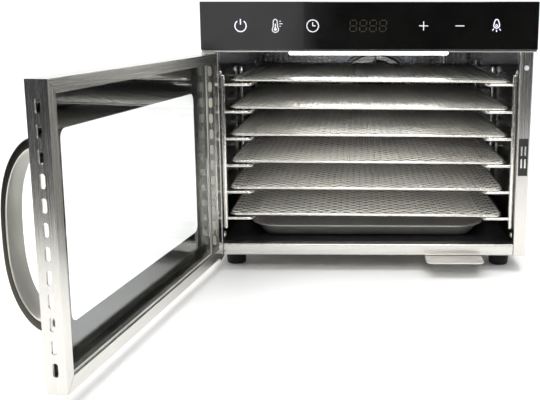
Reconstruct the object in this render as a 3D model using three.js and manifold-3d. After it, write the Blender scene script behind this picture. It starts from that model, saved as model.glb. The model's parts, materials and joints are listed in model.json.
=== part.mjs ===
// Food dehydrator: a steel cabinet with six wire racks, a side-hung glass door and a rear fan.
// Millimetres. X runs to the right of the cabinet, Y to its back, Z up. The cabinet is laid out with
// Y = 0 on the front face of its posts and Z = 0 on the floor, and the finished group is then moved
// so that the origin is at the middle of the whole object's footprint.
import * as THREE from 'three';
import { mergeVertices } from 'three/addons/utils/BufferGeometryUtils.js';
import Module from 'manifold-3d';

const wasm = await Module();
wasm.setup();

// ---------------------------------------------------------------- driving dimensions
const WIDTH = 342; // cabinet, side to side
const BODY_HEIGHT = 269.6; // underside of the base to the top cover
const BODY_DEPTH = 402; // front of the posts to the back of the rear cover
const FOOT_HEIGHT = 18;
const HEAD_HEIGHT = 48.3; // control head
const HEAD_REACH = 17.8; // control head in front of the posts
const MACHINERY_DEPTH = 80; // fan baffle to the back of the rear cover
const FAN_SPACE = 26; // baffle to the rear liner
const POST_WIDTH = 14;
const POST_DEPTH = 14;
const RAIL_HEIGHT = 12.45;
const RAIL_DEPTH = 12;

const SHEET = 1.2; // outer steel
const LINER = 1; // inner steel
const GAP = 0.3; // between pieces that touch
const ROOT = 0.6; // how far a joined piece or a cut runs past a face
const HEADER_THICK = 1.9;

// door
const DOOR_THICK = 16;
const DOOR_GAP = 1.8; // closed door to the posts
const DOOR_OPEN = 99; // degrees, as it stands
const DOOR_LIFT = 0.2; // above the underside of the base
const DOOR_HEAD_CLEAR = 0.6; // below the upper bracket
const DOOR_FREE_CLEAR = 0.5; // closed door inside the cabinet's right side
const HINGE_INSET = 0.5; // closed door inside the cabinet's left side
const PIVOT_INSET = 5; // pivot axis to the hinge edge
const DOOR_FLANGE = 10;
const GLASS_THICK = 3.5;
const GLASS_CLEAR = 0.4;
const SLOT_COUNT = 12;
const SLOT_PITCH = 16.5;
const SLOT_WIDTH = 4.2;
const SLOT_LENGTH = 10.6;
const GASKET_WIDTH = 1.2; // silicone bead round the glass
const GASKET_HEIGHT = 1.4;
const GASKET_INSET = 2.2; // door edge to the gasket

// handle: a flat strap bent to a D, its outline a superellipse
const HANDLE_SPAN = 134;
const HANDLE_REACH = 25.5;
const HANDLE_STRAP = 5;
const HANDLE_FOOT = 8; // strap where it meets the door
const HANDLE_WIDTH = 20;
const HANDLE_INSET = 1.5; // free edge of the door to the handle
const HANDLE_LIFT = 3; // above the middle of the door
const HANDLE_POWERS = [2.6, 1.5];
const HANDLE_STEPS = 18;
const SCREW_RADIUS = 2;
const SCREW_CLEAR = 0.5;
const SCREW_DEPTH = 7; // into the handle
const SCREW_HEAD_RADIUS = 3.6;
const SCREW_HEAD_THICK = 2.4;
const SCREW_BLOCK = 2; // handle's foot past its screw

// hinges
const PIN_RADIUS = 2.5;
const PIN_CLEAR = 0.3;
const PIN_REACH = 4; // into the door
const UPPER_BRACKET_THICK = 1.5;
const UPPER_BRACKET_WIDTH = 14;
const LOWER_BRACKET_THICK = 2.2;
const LOWER_BRACKET_WIDTH = 14;
const LOWER_BRACKET_TAIL = 18; // behind the posts' front face
const BRACKET_SETBACK = 2; // behind the closed door's outer face

// racks and trays
const TRAY_COUNT = 6;
const TRAY_PITCH = 29;
const TOP_TRAY_DROP = 37.3; // top rail wire below the control head
const TRAY_SIDE_CLEAR = 2.7; // tray to the racks' uprights
const TRAY_BACK_CLEAR = 16; // trays to the fan baffle
const TRAY_FRONT = 6; // behind the posts' front face
const TRAY_RIM = 3; // rim wire
const TRAY_MESH = 0.4; // woven sheet, as a thin plate
const TRAY_CORNER = 10;
const RAIL_WIRE = 3.5;
const POST_WIRE = 5;
const RACK_FRONT = 8;
const RACK_REACH = 30; // rail wire in from the upright
const RACK_CLEAR = 0.6; // upright to the liner
const RACK_TAIL = 11.6; // upright below its lowest rail
const RACK_HEAD = 11.3; // upright above its highest rail
const RACK_END = 4; // rear upright in front of the trays' back edge
const RAIL_BEND = 5;

// drip tray
const DRIP_SIDE = 18; // inside each side of the trays
const DRIP_SHORT = 24; // shorter than the trays
const DRIP_HEIGHT = 13.5;
const DRIP_FLARE = 9; // rim outside the bottom on each side
const DRIP_CORNER = 32;
const DRIP_WALL = 0.9;
const DRIP_RIM = 4;
const DRIP_FRONT = 26;

// fan and heater
const FAN_OFFSET = 14; // right of the middle
const FAN_HEIGHT = 134; // above the cavity floor
const FAN_RADIUS = 46;
const FAN_BLADES = 7;
const FAN_BLADE_CHORD = 24;
const FAN_BLADE_THICK = 1.4;
const FAN_BLADE_SLANT = 22; // degrees
const FAN_BLADE_DEPTH = 12;
const FAN_HUB_RADIUS = 15;
const FAN_BLADE_ROOT = 4; // blade inside the hub
const FAN_FRONT_GAP = 3; // baffle to the blades
const SHAFT_RADIUS = 3;
const SHAFT_CLEAR = 0.5;
const MOTOR_RADIUS = 26;
const MOTOR_LENGTH = 26;
const SHAFT_SOCKET = 5; // shaft inside the motor
const SHAFT_SEAT = 4; // front of the hub to its bore
const MOTOR_EAR = 36; // middle of the motor to the end of each ear
const MOTOR_EAR_WIDTH = 26;
const MOTOR_EAR_THICK = 2.4;
const MOUTH_CLEAR = 10; // blade tips to the opening in the baffle
const GUARD_LAP = 3; // guard outside the opening
const GUARD_WIRE = 2.4;
const GUARD_RINGS = 3;
const GUARD_SPOKES = 6;
const GUARD_CAP_RADIUS = 9;
const HEATER_FAN_CLEAR = 10; // blade tips to the middle of the heater's tube
const HEATER_WIRE = 7;
const HEATER_SETBACK = 11; // in front of the rear liner
const HEATER_SPLIT = 0.2; // radians from the foot of the ring to each end
const HEATER_STEPS = 20;
const HEATER_CLEAR = 1.4; // round each end where it passes the rear liner
const BAFFLE_SLOT_WIDTH = 4.4;
const BAFFLE_SLOT_PITCH = 7.3;
const BAFFLE_SLOT_ROWS = 2;
const BAFFLE_SLOT_GAP = 9; // between rows
const BAFFLE_MARGIN = 10;

// head and lamp
const PANE_THICK = 3.5;
const HOUSING_DEPTH = 26;
const HOUSING_WALL = 2;
const BOARD_THICK = 1.6;
const BOARD_SETBACK = 8; // control board behind the housing's front edge
const BOARD_INSET = 21; // cabinet's side to the control board
const BOARD_STAND = 6;
const POWER_BOARD = 100; // a square board
const POWER_BOARD_Y = 110;
const STAND_RADIUS = 3;
const STAND_INSET = 6; // board edge to each stand
const TRANSFORMER = { x: -23, y: -3, width: 38, depth: 34, height: 26 }; // from the middle of the board
const RELAY = { x: 18, y: -15, width: 20, depth: 18, height: 15 };
const CAPACITOR = { x: 32, y: 20, radius: 8, height: 23 };
const PAD_RADIUS = 6;
const BOARD_MARGIN = 4; // housing wall to the control board
const PAD_OFFSETS = [-130, -93, -57, 55, 91.5, 128.5]; // touch pads behind their symbols
const DISPLAY_OFFSET = -1;
const DISPLAY_WIDTH = 44;
const DISPLAY_HEIGHT = 15;
const LAMP_LENGTH = 168;
const LAMP_WIDTH = 12;
const LAMP_DEPTH = 5;
const LAMP_WALL = 1;
const LAMP_SETBACK = 16;

// small pieces
const FOOT_TOP_RADIUS = 11.8;
const FOOT_BOTTOM_RADIUS = 10.3;
const FOOT_TAPER = 0.8; // share of its height
const FOOT_INSET_X = 23.5;
const FOOT_INSET_Y = 35;
const CATCH_WIDTH = 10;
const CATCH_HEIGHT = 40;
const CATCH_DEPTH = 13;
const CATCH_PROUD = 0.8;
const CATCH_LIFT = 108; // base to the middle of the catch
const BUMPER_RADIUS = 2.6;
const BUMPER_STEM = 1.4;
const BUMPER_PROUD = 1.2;
const BUMPER_DROP = 14.5; // top of the door down to the bumper
const TAB_WIDTH = 61;
const TAB_TAIL = 40; // behind the posts' front face
const TAB_CORNER = 6;
const TAB_REACH = 26;
const TAB_THICK = 1.6;
const TAB_OFFSET = 92.5; // right of the middle
const INLET_WIDTH = 27;
const INLET_HEIGHT = 20;
const INLET_DEPTH = 18;
const INLET_FLANGE = 2;
const INLET_FLANGE_LAP = { x: 4, z: 3 }; // flange outside the barrel
const INLET_WALL = 2.5;
const BLADE_WIDTH = 4;
const BLADE_THICK = 2;
const BLADE_PITCH = 14; // between the two outer blades
const BLADE_RISE = 4; // middle blade above the outer two
const BLADE_SETBACK = 6; // behind the socket's mouth
const INLET_INSET = 42; // from the right side
const INLET_LIFT = 26; // above the base
const LOUVRE_COUNT = 9;
const LOUVRE_PITCH = 12;
const LOUVRE_OFFSET = 72;
const LOUVRE_LENGTH = 68;
const LOUVRE_WIDTH = 4.4;
const PROBE_OFFSET = 110;
const PROBE_DROP = 24; // below the cavity roof
const PROBE_REACH = 12; // in front of the baffle
const PROBE_RADIUS = 2.6;
const PROBE_SPAN = [-12, 9]; // bulb below and above its arm
const PROBE_ARM = 4;
const PROBE_CLIP = { width: 10, height: 18, thick: 1.5 };
const CUTOUT_OFFSET = 64; // right of the motor
const CUTOUT_RADIUS = 8;
const CUTOUT_DEPTH = 9;
const CUTOUT_EAR = { half: 12, height: 6 };

// ---------------------------------------------------------------- heights and places that follow
const BASE = FOOT_HEIGHT;
const TOP = BASE + BODY_HEIGHT;
const UNDER_TOP = TOP - SHEET - GAP;
const HEAD_BOTTOM = TOP - HEAD_HEIGHT;
const HEADER_BOTTOM = HEAD_BOTTOM - GAP - HEADER_THICK;
const RAIL_TOP = BASE + RAIL_HEIGHT;
const FLOOR_TOP = RAIL_TOP;
const ROOF_BOTTOM = HEADER_BOTTOM + LINER;
const HALF = WIDTH / 2;
const OPENING_HALF = HALF - POST_WIDTH; // inner face of a post
const POST_X = HALF - POST_WIDTH / 2;
const REAR = BODY_DEPTH;
const COVER_Y = REAR - SHEET;
const INSIDE_FRONT = POST_DEPTH + GAP;
const BAFFLE_Y = REAR - MACHINERY_DEPTH;
const REAR_LINER_Y = BAFFLE_Y + LINER + FAN_SPACE;
const LINER_END = REAR_LINER_Y - GAP;
const LINER_INNER = OPENING_HALF + GAP; // inner face of a side liner
const RACK_X = LINER_INNER - RACK_CLEAR - POST_WIRE / 2;
const TRAY_WIDTH = 2 * (RACK_X - POST_WIRE / 2 - TRAY_SIDE_CLEAR);
const TRAY_DEPTH = BAFFLE_Y - TRAY_FRONT - TRAY_BACK_CLEAR;
const RACK_BACK = TRAY_FRONT + TRAY_DEPTH - RACK_END;
const DRIP_WIDTH = TRAY_WIDTH - 2 * DRIP_SIDE;
const DRIP_DEPTH = TRAY_DEPTH - DRIP_SHORT;
const TOP_RAIL = HEAD_BOTTOM - TOP_TRAY_DROP;
const railHeight = (k) => TOP_RAIL - k * TRAY_PITCH;
const FAN_Z = FLOOR_TOP + FAN_HEIGHT;
const MOUTH_RADIUS = FAN_RADIUS + MOUTH_CLEAR;
const HEATER_RADIUS = FAN_RADIUS + HEATER_FAN_CLEAR;
const MOTOR_FRONT = REAR_LINER_Y + LINER + GAP;
const PANE_BACK = -HEAD_REACH + PANE_THICK;
const HEAD_FRONT = PANE_BACK + GAP; // front edge of what stands behind the control glass
const HOUSING_BACK = HEAD_FRONT + HOUSING_DEPTH;
const BOARD_Y = HEAD_FRONT + BOARD_SETBACK;
const BOARD_HALF = HALF - BOARD_INSET;
const INLET_X = HALF - INLET_INSET;
const INLET_Z = BASE + INLET_LIFT;
const DOOR_BOTTOM = BASE + DOOR_LIFT;
const DOOR_TOP = HEADER_BOTTOM - GAP - UPPER_BRACKET_THICK - DOOR_HEAD_CLEAR;
const DOOR_HEIGHT = DOOR_TOP - DOOR_BOTTOM;
const DOOR_LENGTH = WIDTH - HINGE_INSET - DOOR_FREE_CLEAR;
const HINGE_EDGE = -PIVOT_INSET; // along the door from its pivot
const FREE_EDGE = DOOR_LENGTH - PIVOT_INSET;
const PIVOT_X = -HALF + HINGE_INSET + PIVOT_INSET;
const PIVOT_Y = -DOOR_GAP - DOOR_THICK / 2;
const DOOR_PANE_BACK = -DOOR_THICK / 2 + GLASS_THICK;
const HANDLE_X = FREE_EDGE - HANDLE_INSET - HANDLE_WIDTH / 2;
const HANDLE_Z = DOOR_BOTTOM + DOOR_HEIGHT / 2 + HANDLE_LIFT;
const SCREW_HEIGHTS = [-1, 1].map((end) => HANDLE_Z + (end * (HANDLE_SPAN - HANDLE_FOOT)) / 2);
const CATCH_Z = BASE + CATCH_LIFT;
const BUMPER_Z = DOOR_TOP - BUMPER_DROP;

// ---------------------------------------------------------------- materials
const paint = (hex, roughness, metalness = 0) =>
  new THREE.MeshStandardMaterial({ color: hex, roughness, metalness });
const STEEL = paint(0xc6c5bf, 0.32, 1);
const DARK_STEEL = paint(0x55585c, 0.22, 1);
const BRIGHT_WIRE = paint(0xdedcd6, 0.2, 1);
const BLACK_ENAMEL = paint(0x0c0c0e, 0.35);
const BLACK_PLASTIC = paint(0x141415, 0.5);
const BLACK_GLASS = paint(0x050506, 0.08);
const CLEAR_GLASS = paint(0xdfe8e8, 0.05);
const RUBBER = paint(0x161616, 0.8);
const WHITE_PLASTIC = paint(0xe9eaec, 0.4);
const SILICONE = paint(0xdedcd4, 0.6);
const BOARD_GREEN = paint(0x1d4a2c, 0.55);
const HEATER_STEEL = paint(0x6b6660, 0.45, 1);

// ---------------------------------------------------------------- solids
/** A geometry with its shared vertices merged and nothing but positions left. */
function bare(geometry) {
  const copy = geometry.clone();
  for (const name of ['normal', 'uv']) copy.deleteAttribute(name);
  return mergeVertices(copy, 1e-4);
}

/** A closed geometry as a manifold. */
function toManifold(geometry) {
  const merged = bare(geometry);
  return new wasm.Manifold(
    new wasm.Mesh({
      numProp: 3,
      vertProperties: new Float32Array(merged.attributes.position.array),
      triVerts: new Uint32Array(merged.index.array),
    }),
  );
}

/** A manifold back as a geometry. */
function toGeometry(manifold) {
  const mesh = manifold.getMesh();
  const geometry = new THREE.BufferGeometry();
  geometry.setAttribute('position', new THREE.BufferAttribute(new Float32Array(mesh.vertProperties), 3));
  geometry.setIndex(new THREE.BufferAttribute(new Uint32Array(mesh.triVerts), 1));
  geometry.computeVertexNormals();
  return geometry;
}

const join = (first, ...others) =>
  toGeometry(others.reduce((sum, piece) => sum.add(toManifold(piece)), toManifold(first)));
const cut = (first, ...tools) =>
  toGeometry(tools.reduce((rest, tool) => rest.subtract(toManifold(tool)), toManifold(first)));

/** A geometry moved by a matrix, its faces still pointing out if the matrix mirrors it. */
function placed(geometry, matrix) {
  const moved = bare(geometry).applyMatrix4(matrix);
  if (matrix.determinant() < 0) {
    const corners = moved.index.array;
    for (let k = 0; k < corners.length; k += 3) {
      [corners[k + 1], corners[k + 2]] = [corners[k + 2], corners[k + 1]];
    }
  }
  moved.computeVertexNormals();
  return moved;
}

const mirrored = (geometry) => placed(geometry, new THREE.Matrix4().makeScale(-1, 1, 1));

/** The matrix that lays a drawing's own axes along three given directions. */
const axes = (...directions) =>
  new THREE.Matrix4().makeBasis(...directions.map((direction) => new THREE.Vector3(...direction)));

/** A block between two corners. */
function block(x0, x1, y0, y1, z0, z1) {
  const geometry = new THREE.BoxGeometry(x1 - x0, y1 - y0, z1 - z0);
  return geometry.translate((x0 + x1) / 2, (y0 + y1) / 2, (z0 + z1) / 2);
}

/** A rod between two points. */
function rod(start, end, radius, sides = 16) {
  const from = new THREE.Vector3(...start);
  const along = new THREE.Vector3(...end).sub(from);
  const geometry = new THREE.CylinderGeometry(radius, radius, along.length(), sides);
  const up = new THREE.Vector3(0, 1, 0);
  const turn = new THREE.Quaternion().setFromUnitVectors(up, along.clone().normalize());
  geometry.applyQuaternion(turn);
  return geometry.translate(...from.addScaledVector(along, 0.5).toArray());
}

/** A shape from [x, y] corners. */
const outline = (...corners) => new THREE.Shape(corners.map(([x, y]) => new THREE.Vector2(x, y)));

/** A block that cuts a rectangular hole through an upright sheet at y. */
const throughHole = (x, z, width, height, y) =>
  block(x - width / 2, x + width / 2, y - 2 * SHEET, y + 2 * SHEET, z - height / 2, z + height / 2);

/** A round hole in a shape. */
function roundHole(x, y, radius) {
  return new THREE.Path().absarc(x, y, radius, 0, 2 * Math.PI);
}

/** A rectangle with round corners, centred on the origin. */
function roundedRectangle(width, height, radius, target = new THREE.Shape()) {
  const x = width / 2;
  const y = height / 2;
  target.moveTo(-x + radius, -y);
  target.lineTo(x - radius, -y);
  target.absarc(x - radius, -y + radius, radius, -Math.PI / 2, 0);
  target.lineTo(x, y - radius);
  target.absarc(x - radius, y - radius, radius, 0, Math.PI / 2);
  target.lineTo(-x + radius, y);
  target.absarc(-x + radius, y - radius, radius, Math.PI / 2, Math.PI);
  target.lineTo(-x, -y + radius);
  target.absarc(-x + radius, -y + radius, radius, Math.PI, 1.5 * Math.PI);
  return target;
}

/** A slot with round ends, upright, centred on the origin. */
function slotShape(width, length) {
  const radius = width / 2;
  const straight = length / 2 - radius;
  const shape = new THREE.Shape();
  shape.moveTo(radius, -straight);
  shape.lineTo(radius, straight);
  shape.absarc(0, straight, radius, 0, Math.PI);
  shape.lineTo(-radius, -straight);
  shape.absarc(0, -straight, radius, Math.PI, 2 * Math.PI);
  return shape;
}

const extruded = (shape, depth, curveSegments = 2) =>
  new THREE.ExtrudeGeometry(shape, { depth, bevelEnabled: false, curveSegments });

/** A level plate of a shape drawn in X and Y, its thickness upwards from z. */
const levelPlate = (shape, z, thickness, curveSegments) =>
  extruded(shape, thickness, curveSegments).translate(0, 0, z);

/** An upright plate of a shape drawn in X and Z, its thickness backwards from y. */
const uprightPlate = (shape, y, thickness, curveSegments) =>
  extruded(shape, thickness, curveSegments)
    .rotateX(Math.PI / 2)
    .translate(0, y + thickness, 0);

/** A shell through rings with the same number of points, closed flat at both ends. */
function loft(rings) {
  const count = rings[0].length;
  const faces = [];
  for (let level = 0; level + 1 < rings.length; level += 1) {
    for (let k = 0; k < count; k += 1) {
      const a = level * count + k;
      const b = level * count + ((k + 1) % count);
      faces.push(a, b, b + count, a, b + count, a + count);
    }
  }
  const last = (rings.length - 1) * count;
  for (let k = 1; k + 1 < count; k += 1) {
    faces.push(0, k + 1, k);
    faces.push(last, last + k, last + k + 1);
  }
  const geometry = new THREE.BufferGeometry();
  const positions = rings.flat().flatMap((point) => point.toArray());
  geometry.setAttribute('position', new THREE.Float32BufferAttribute(positions, 3));
  geometry.setIndex(faces);
  geometry.computeVertexNormals();
  return geometry;
}

/** A round wire through points that lie in one level plane. */
function levelWire(points, radius, sides = 6) {
  const up = new THREE.Vector3(0, 0, 1);
  const rings = points.map((point, k) => {
    const before = points[Math.max(k - 1, 0)];
    const after = points[Math.min(k + 1, points.length - 1)];
    const across = up.clone().cross(after.clone().sub(before)).normalize();
    return Array.from({ length: sides }, (_, side) => {
      const angle = (2 * Math.PI * (side + 0.5)) / sides;
      const offset = across.clone().multiplyScalar(radius * Math.cos(angle));
      return point.clone().add(offset.addScaledVector(up, radius * Math.sin(angle)));
    });
  });
  return loft(rings);
}

/** A rod along Y on the fan's axis. */
const onFanAxis = (y0, y1, radius, sides) =>
  rod([FAN_OFFSET, y0, FAN_Z], [FAN_OFFSET, y1, FAN_Z], radius, sides);

const cabinet = new THREE.Group();
const door = new THREE.Group();

/** Adds one named piece to a group. */
function add(group, name, geometry, material) {
  const mesh = new THREE.Mesh(geometry, material.clone());
  mesh.name = name;
  group.add(mesh);
}

// ---------------------------------------------------------------- cabinet shell
function buildShell() {
  const back = COVER_Y - GAP;
  const wall = HALF - SHEET;
  add(cabinet, 'base_plate', block(-wall + GAP, wall - GAP, INSIDE_FRONT, back, BASE, BASE + SHEET), STEEL);
  add(cabinet, 'top_cover', block(-HALF, HALF, HEAD_FRONT, REAR, TOP - SHEET, TOP), STEEL);
  add(cabinet, 'side_panel_left', block(-HALF, -wall, INSIDE_FRONT, back, BASE, UNDER_TOP), STEEL);
  add(cabinet, 'side_panel_right', block(wall, HALF, INSIDE_FRONT, back, BASE, UNDER_TOP), STEEL);
}

/** The rear cover: a flat sheet with two banks of louvre slots and the cut-out for the power inlet. */
function buildRearCover() {
  const holes = [throughHole(INLET_X, INLET_Z, INLET_WIDTH + 2 * GAP, INLET_HEIGHT + 2 * GAP, REAR)];
  for (const side of [-1, 1]) {
    for (let k = 0; k < LOUVRE_COUNT; k += 1) {
      const z = FAN_Z + (k - (LOUVRE_COUNT - 1) / 2) * LOUVRE_PITCH;
      holes.push(throughHole(side * LOUVRE_OFFSET, z, LOUVRE_LENGTH, LOUVRE_WIDTH, REAR));
    }
  }
  add(cabinet, 'rear_cover', cut(block(-HALF, HALF, COVER_Y, REAR, BASE, UNDER_TOP), ...holes), STEEL);
}

/** A block beside the inlet's middle, at an offset across and up from it. */
function inletBlock(width, height, y0, y1, across = 0, up = 0) {
  const x = INLET_X + across;
  const z = INLET_Z + up;
  return block(x - width / 2, x + width / 2, y0, y1, z - height / 2, z + height / 2);
}

/** The mains inlet: a flange outside the rear cover, a barrel through it and a socket with three blades. */
function buildInlet() {
  const face = REAR + GAP + INLET_FLANGE;
  const lap = INLET_FLANGE_LAP;
  const flange = inletBlock(INLET_WIDTH + 2 * lap.x, INLET_HEIGHT + 2 * lap.z, REAR + GAP, face);
  const barrel = inletBlock(INLET_WIDTH, INLET_HEIGHT, face - INLET_DEPTH, face - INLET_FLANGE / 2);
  const floor = face - INLET_DEPTH + INLET_WALL;
  const mouth = face + INLET_FLANGE;
  const socket = inletBlock(INLET_WIDTH - 2 * INLET_WALL, INLET_HEIGHT - 2 * INLET_WALL, floor, mouth);
  const blades = [-1, 0, 1].map((side) => {
    const up = side ? -BLADE_RISE / 2 : BLADE_RISE / 2;
    const across = (side * BLADE_PITCH) / 2;
    return inletBlock(BLADE_THICK, BLADE_WIDTH, floor - ROOT, face - BLADE_SETBACK, across, up);
  });
  add(cabinet, 'power_inlet', join(cut(join(flange, barrel), socket), ...blades), BLACK_PLASTIC);
}

/** A folded post: front face, outer wall and inner wall, open to the back. */
function postGeometry() {
  const profile = outline(
    [HALF, 0],
    [HALF, POST_DEPTH],
    [HALF - SHEET, POST_DEPTH],
    [HALF - SHEET, SHEET],
    [OPENING_HALF + SHEET, SHEET],
    [OPENING_HALF + SHEET, POST_DEPTH],
    [OPENING_HALF, POST_DEPTH],
    [OPENING_HALF, 0],
  );
  return levelPlate(profile, BASE, HEADER_BOTTOM - GAP - BASE);
}

/** The folded rail under the opening, open to the back. */
function railGeometry() {
  const profile = outline(
    [0, BASE],
    [RAIL_DEPTH, BASE],
    [RAIL_DEPTH, BASE + SHEET],
    [SHEET, BASE + SHEET],
    [SHEET, RAIL_TOP - SHEET],
    [RAIL_DEPTH, RAIL_TOP - SHEET],
    [RAIL_DEPTH, RAIL_TOP],
    [0, RAIL_TOP],
  );
  const length = 2 * (OPENING_HALF - GAP);
  const rail = placed(extruded(profile, length), axes([0, 1, 0], [0, 0, 1], [1, 0, 0]));
  return rail.translate(-length / 2, 0, 0);
}

function buildFrontFrame() {
  const catchHole = block(
    POST_X - CATCH_WIDTH / 2 - GAP,
    POST_X + CATCH_WIDTH / 2 + GAP,
    -SHEET,
    2 * SHEET,
    CATCH_Z - CATCH_HEIGHT / 2 - GAP,
    CATCH_Z + CATCH_HEIGHT / 2 + GAP,
  );
  const stemHole = rod([POST_X, -SHEET, BUMPER_Z], [POST_X, 2 * SHEET, BUMPER_Z], BUMPER_STEM + GAP, 12);
  add(cabinet, 'front_post_right', cut(postGeometry(), catchHole, stemHole), STEEL);
  add(cabinet, 'front_post_left', mirrored(postGeometry()), STEEL);
  add(cabinet, 'front_rail', railGeometry(), STEEL);
  const header = block(-HALF, HALF, HEAD_FRONT, POST_DEPTH, HEADER_BOTTOM, HEADER_BOTTOM + HEADER_THICK);
  add(cabinet, 'front_header', header, STEEL);
}

// ---------------------------------------------------------------- cavity
function buildLiners() {
  const low = FLOOR_TOP - LINER;
  const side = block(LINER_INNER, LINER_INNER + LINER, INSIDE_FRONT, LINER_END, low, ROOF_BOTTOM - GAP);
  add(cabinet, 'liner_right', side, DARK_STEEL);
  add(cabinet, 'liner_left', mirrored(side), DARK_STEEL);
  const half = LINER_INNER - GAP;
  add(cabinet, 'liner_floor', block(-half, half, RAIL_DEPTH + GAP, LINER_END, low, FLOOR_TOP), BLACK_ENAMEL);
  const roof = block(-half, half, INSIDE_FRONT, LINER_END, ROOF_BOTTOM, ROOF_BOTTOM + LINER);
  add(cabinet, 'liner_roof', roof, DARK_STEEL);
  buildBaffle(half, FLOOR_TOP + GAP, ROOF_BOTTOM - GAP);
  buildRearLiner(LINER_INNER + LINER, low, ROOF_BOTTOM + LINER);
}

/** The fan baffle: a round mouth for the fan and rows of upright slots beside it. */
function buildBaffle(half, low, high) {
  const holes = [onFanAxis(BAFFLE_Y - LINER, BAFFLE_Y + 2 * LINER, MOUTH_RADIUS, 40)];
  const gaps = (BAFFLE_SLOT_ROWS - 1) * BAFFLE_SLOT_GAP;
  const length = (high - low - 2 * BAFFLE_MARGIN - gaps) / BAFFLE_SLOT_ROWS;
  const columns = Math.floor((half - BAFFLE_MARGIN) / BAFFLE_SLOT_PITCH);
  for (let row = 0; row < BAFFLE_SLOT_ROWS; row += 1) {
    const z = low + BAFFLE_MARGIN + length / 2 + row * (length + BAFFLE_SLOT_GAP);
    for (let column = -columns; column <= columns; column += 1) {
      const x = column * BAFFLE_SLOT_PITCH;
      const clear = Math.abs(x - FAN_OFFSET) > MOUTH_RADIUS + BAFFLE_MARGIN / 2;
      if (clear) holes.push(throughHole(x, z, BAFFLE_SLOT_WIDTH, length, BAFFLE_Y));
    }
  }
  const sheet = block(-half, half, BAFFLE_Y, BAFFLE_Y + LINER, low, high);
  add(cabinet, 'rear_baffle', cut(sheet, ...holes), DARK_STEEL);
}

function buildRearLiner(half, low, high) {
  const sheet = outline([-half, low], [half, low], [half, high], [-half, high]);
  sheet.holes.push(roundHole(FAN_OFFSET, FAN_Z, SHAFT_RADIUS + SHAFT_CLEAR));
  for (const side of [-1, 1]) {
    const end = heaterPoint(Math.PI + side * HEATER_SPLIT, 0);
    sheet.holes.push(roundHole(end.x, end.z, HEATER_WIRE / 2 + HEATER_CLEAR));
  }
  add(cabinet, 'rear_liner', uprightPlate(sheet, REAR_LINER_Y, LINER, 6), STEEL);
}

// ---------------------------------------------------------------- fan and heater
/** A point on the heater's ring, at an angle from the top and a depth along Y. */
function heaterPoint(angle, y) {
  const [across, up] = [HEATER_RADIUS * Math.sin(angle), HEATER_RADIUS * Math.cos(angle)];
  return new THREE.Vector3(FAN_OFFSET + across, y, FAN_Z + up);
}

/** A ring element round the fan, its two ends turned back through the rear liner. */
function buildHeater() {
  const y = REAR_LINER_Y - HEATER_SETBACK;
  const behind = REAR_LINER_Y + LINER + HEATER_WIRE;
  const bend = HEATER_WIRE;
  const start = Math.PI + HEATER_SPLIT;
  const sweep = 2 * (Math.PI - HEATER_SPLIT);
  const turn = bend / HEATER_RADIUS;
  const ends = (angle) => [heaterPoint(angle, behind), heaterPoint(angle, y + bend)];
  const points = ends(start);
  for (let k = 0; k <= HEATER_STEPS; k += 1) {
    points.push(heaterPoint(start + turn + (k / HEATER_STEPS) * (sweep - 2 * turn), y));
  }
  points.push(...ends(start + sweep).reverse());
  const path = new THREE.CatmullRomCurve3(points, false, 'centripetal');
  const section = new THREE.Shape(
    Array.from({ length: 6 }, (_, k) => {
      const angle = (k * Math.PI) / 3;
      return new THREE.Vector2((HEATER_WIRE / 2) * Math.cos(angle), (HEATER_WIRE / 2) * Math.sin(angle));
    }),
  );
  const wire = new THREE.ExtrudeGeometry(section, { steps: 2 * HEATER_STEPS, extrudePath: path });
  add(cabinet, 'heater_element', wire, HEATER_STEEL);
}

/** Rings on crossing spokes with a cap in the middle, in front of the baffle's mouth. */
function buildFanGuard() {
  const radius = GUARD_WIRE / 2;
  const outer = MOUTH_RADIUS + GUARD_LAP;
  const parts = [];
  for (let k = 1; k <= GUARD_RINGS; k += 1) {
    const ring = new THREE.TorusGeometry((k * outer) / GUARD_RINGS, radius, 4, 10 + 4 * k);
    parts.push(ring.rotateX(Math.PI / 2));
  }
  for (let k = 0; k < GUARD_SPOKES; k += 1) {
    const angle = (k * 2 * Math.PI) / GUARD_SPOKES;
    const reach = outer + GUARD_LAP;
    parts.push(rod([0, 0, 0], [reach * Math.sin(angle), 0, reach * Math.cos(angle)], radius, 4));
  }
  const cap = rod([0, -GUARD_WIRE, 0], [0, radius, 0], GUARD_CAP_RADIUS, 12);
  const guard = join(cap, ...parts).translate(FAN_OFFSET, BAFFLE_Y - radius - GAP, FAN_Z);
  add(cabinet, 'fan_guard', guard, BRIGHT_WIRE);
}

/** A hub with flat blades set at a slant, its bore open to the back. */
function buildFan() {
  const front = BAFFLE_Y + LINER + FAN_FRONT_GAP;
  const back = front + FAN_BLADE_DEPTH;
  const root = FAN_HUB_RADIUS - FAN_BLADE_ROOT;
  const blades = Array.from({ length: FAN_BLADES }, (_, k) => {
    const blade = new THREE.BoxGeometry(FAN_BLADE_CHORD, FAN_BLADE_THICK, FAN_RADIUS - root);
    blade.rotateZ(THREE.MathUtils.degToRad(FAN_BLADE_SLANT));
    blade.translate(0, 0, (FAN_RADIUS + root) / 2);
    blade.rotateY((k * 2 * Math.PI) / FAN_BLADES);
    return blade.translate(FAN_OFFSET, (front + back) / 2, FAN_Z);
  });
  const seat = front + SHAFT_SEAT;
  const hub = onFanAxis(front, back, FAN_HUB_RADIUS, 20);
  const bore = onFanAxis(seat, back + ROOT, SHAFT_RADIUS + PIN_CLEAR, 16);
  add(cabinet, 'fan_blade', cut(join(hub, ...blades), bore), DARK_STEEL);
  const shaft = onFanAxis(seat + GAP, MOTOR_FRONT + SHAFT_SOCKET, SHAFT_RADIUS, 16);
  add(cabinet, 'fan_shaft', shaft, BRIGHT_WIRE);
}

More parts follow.
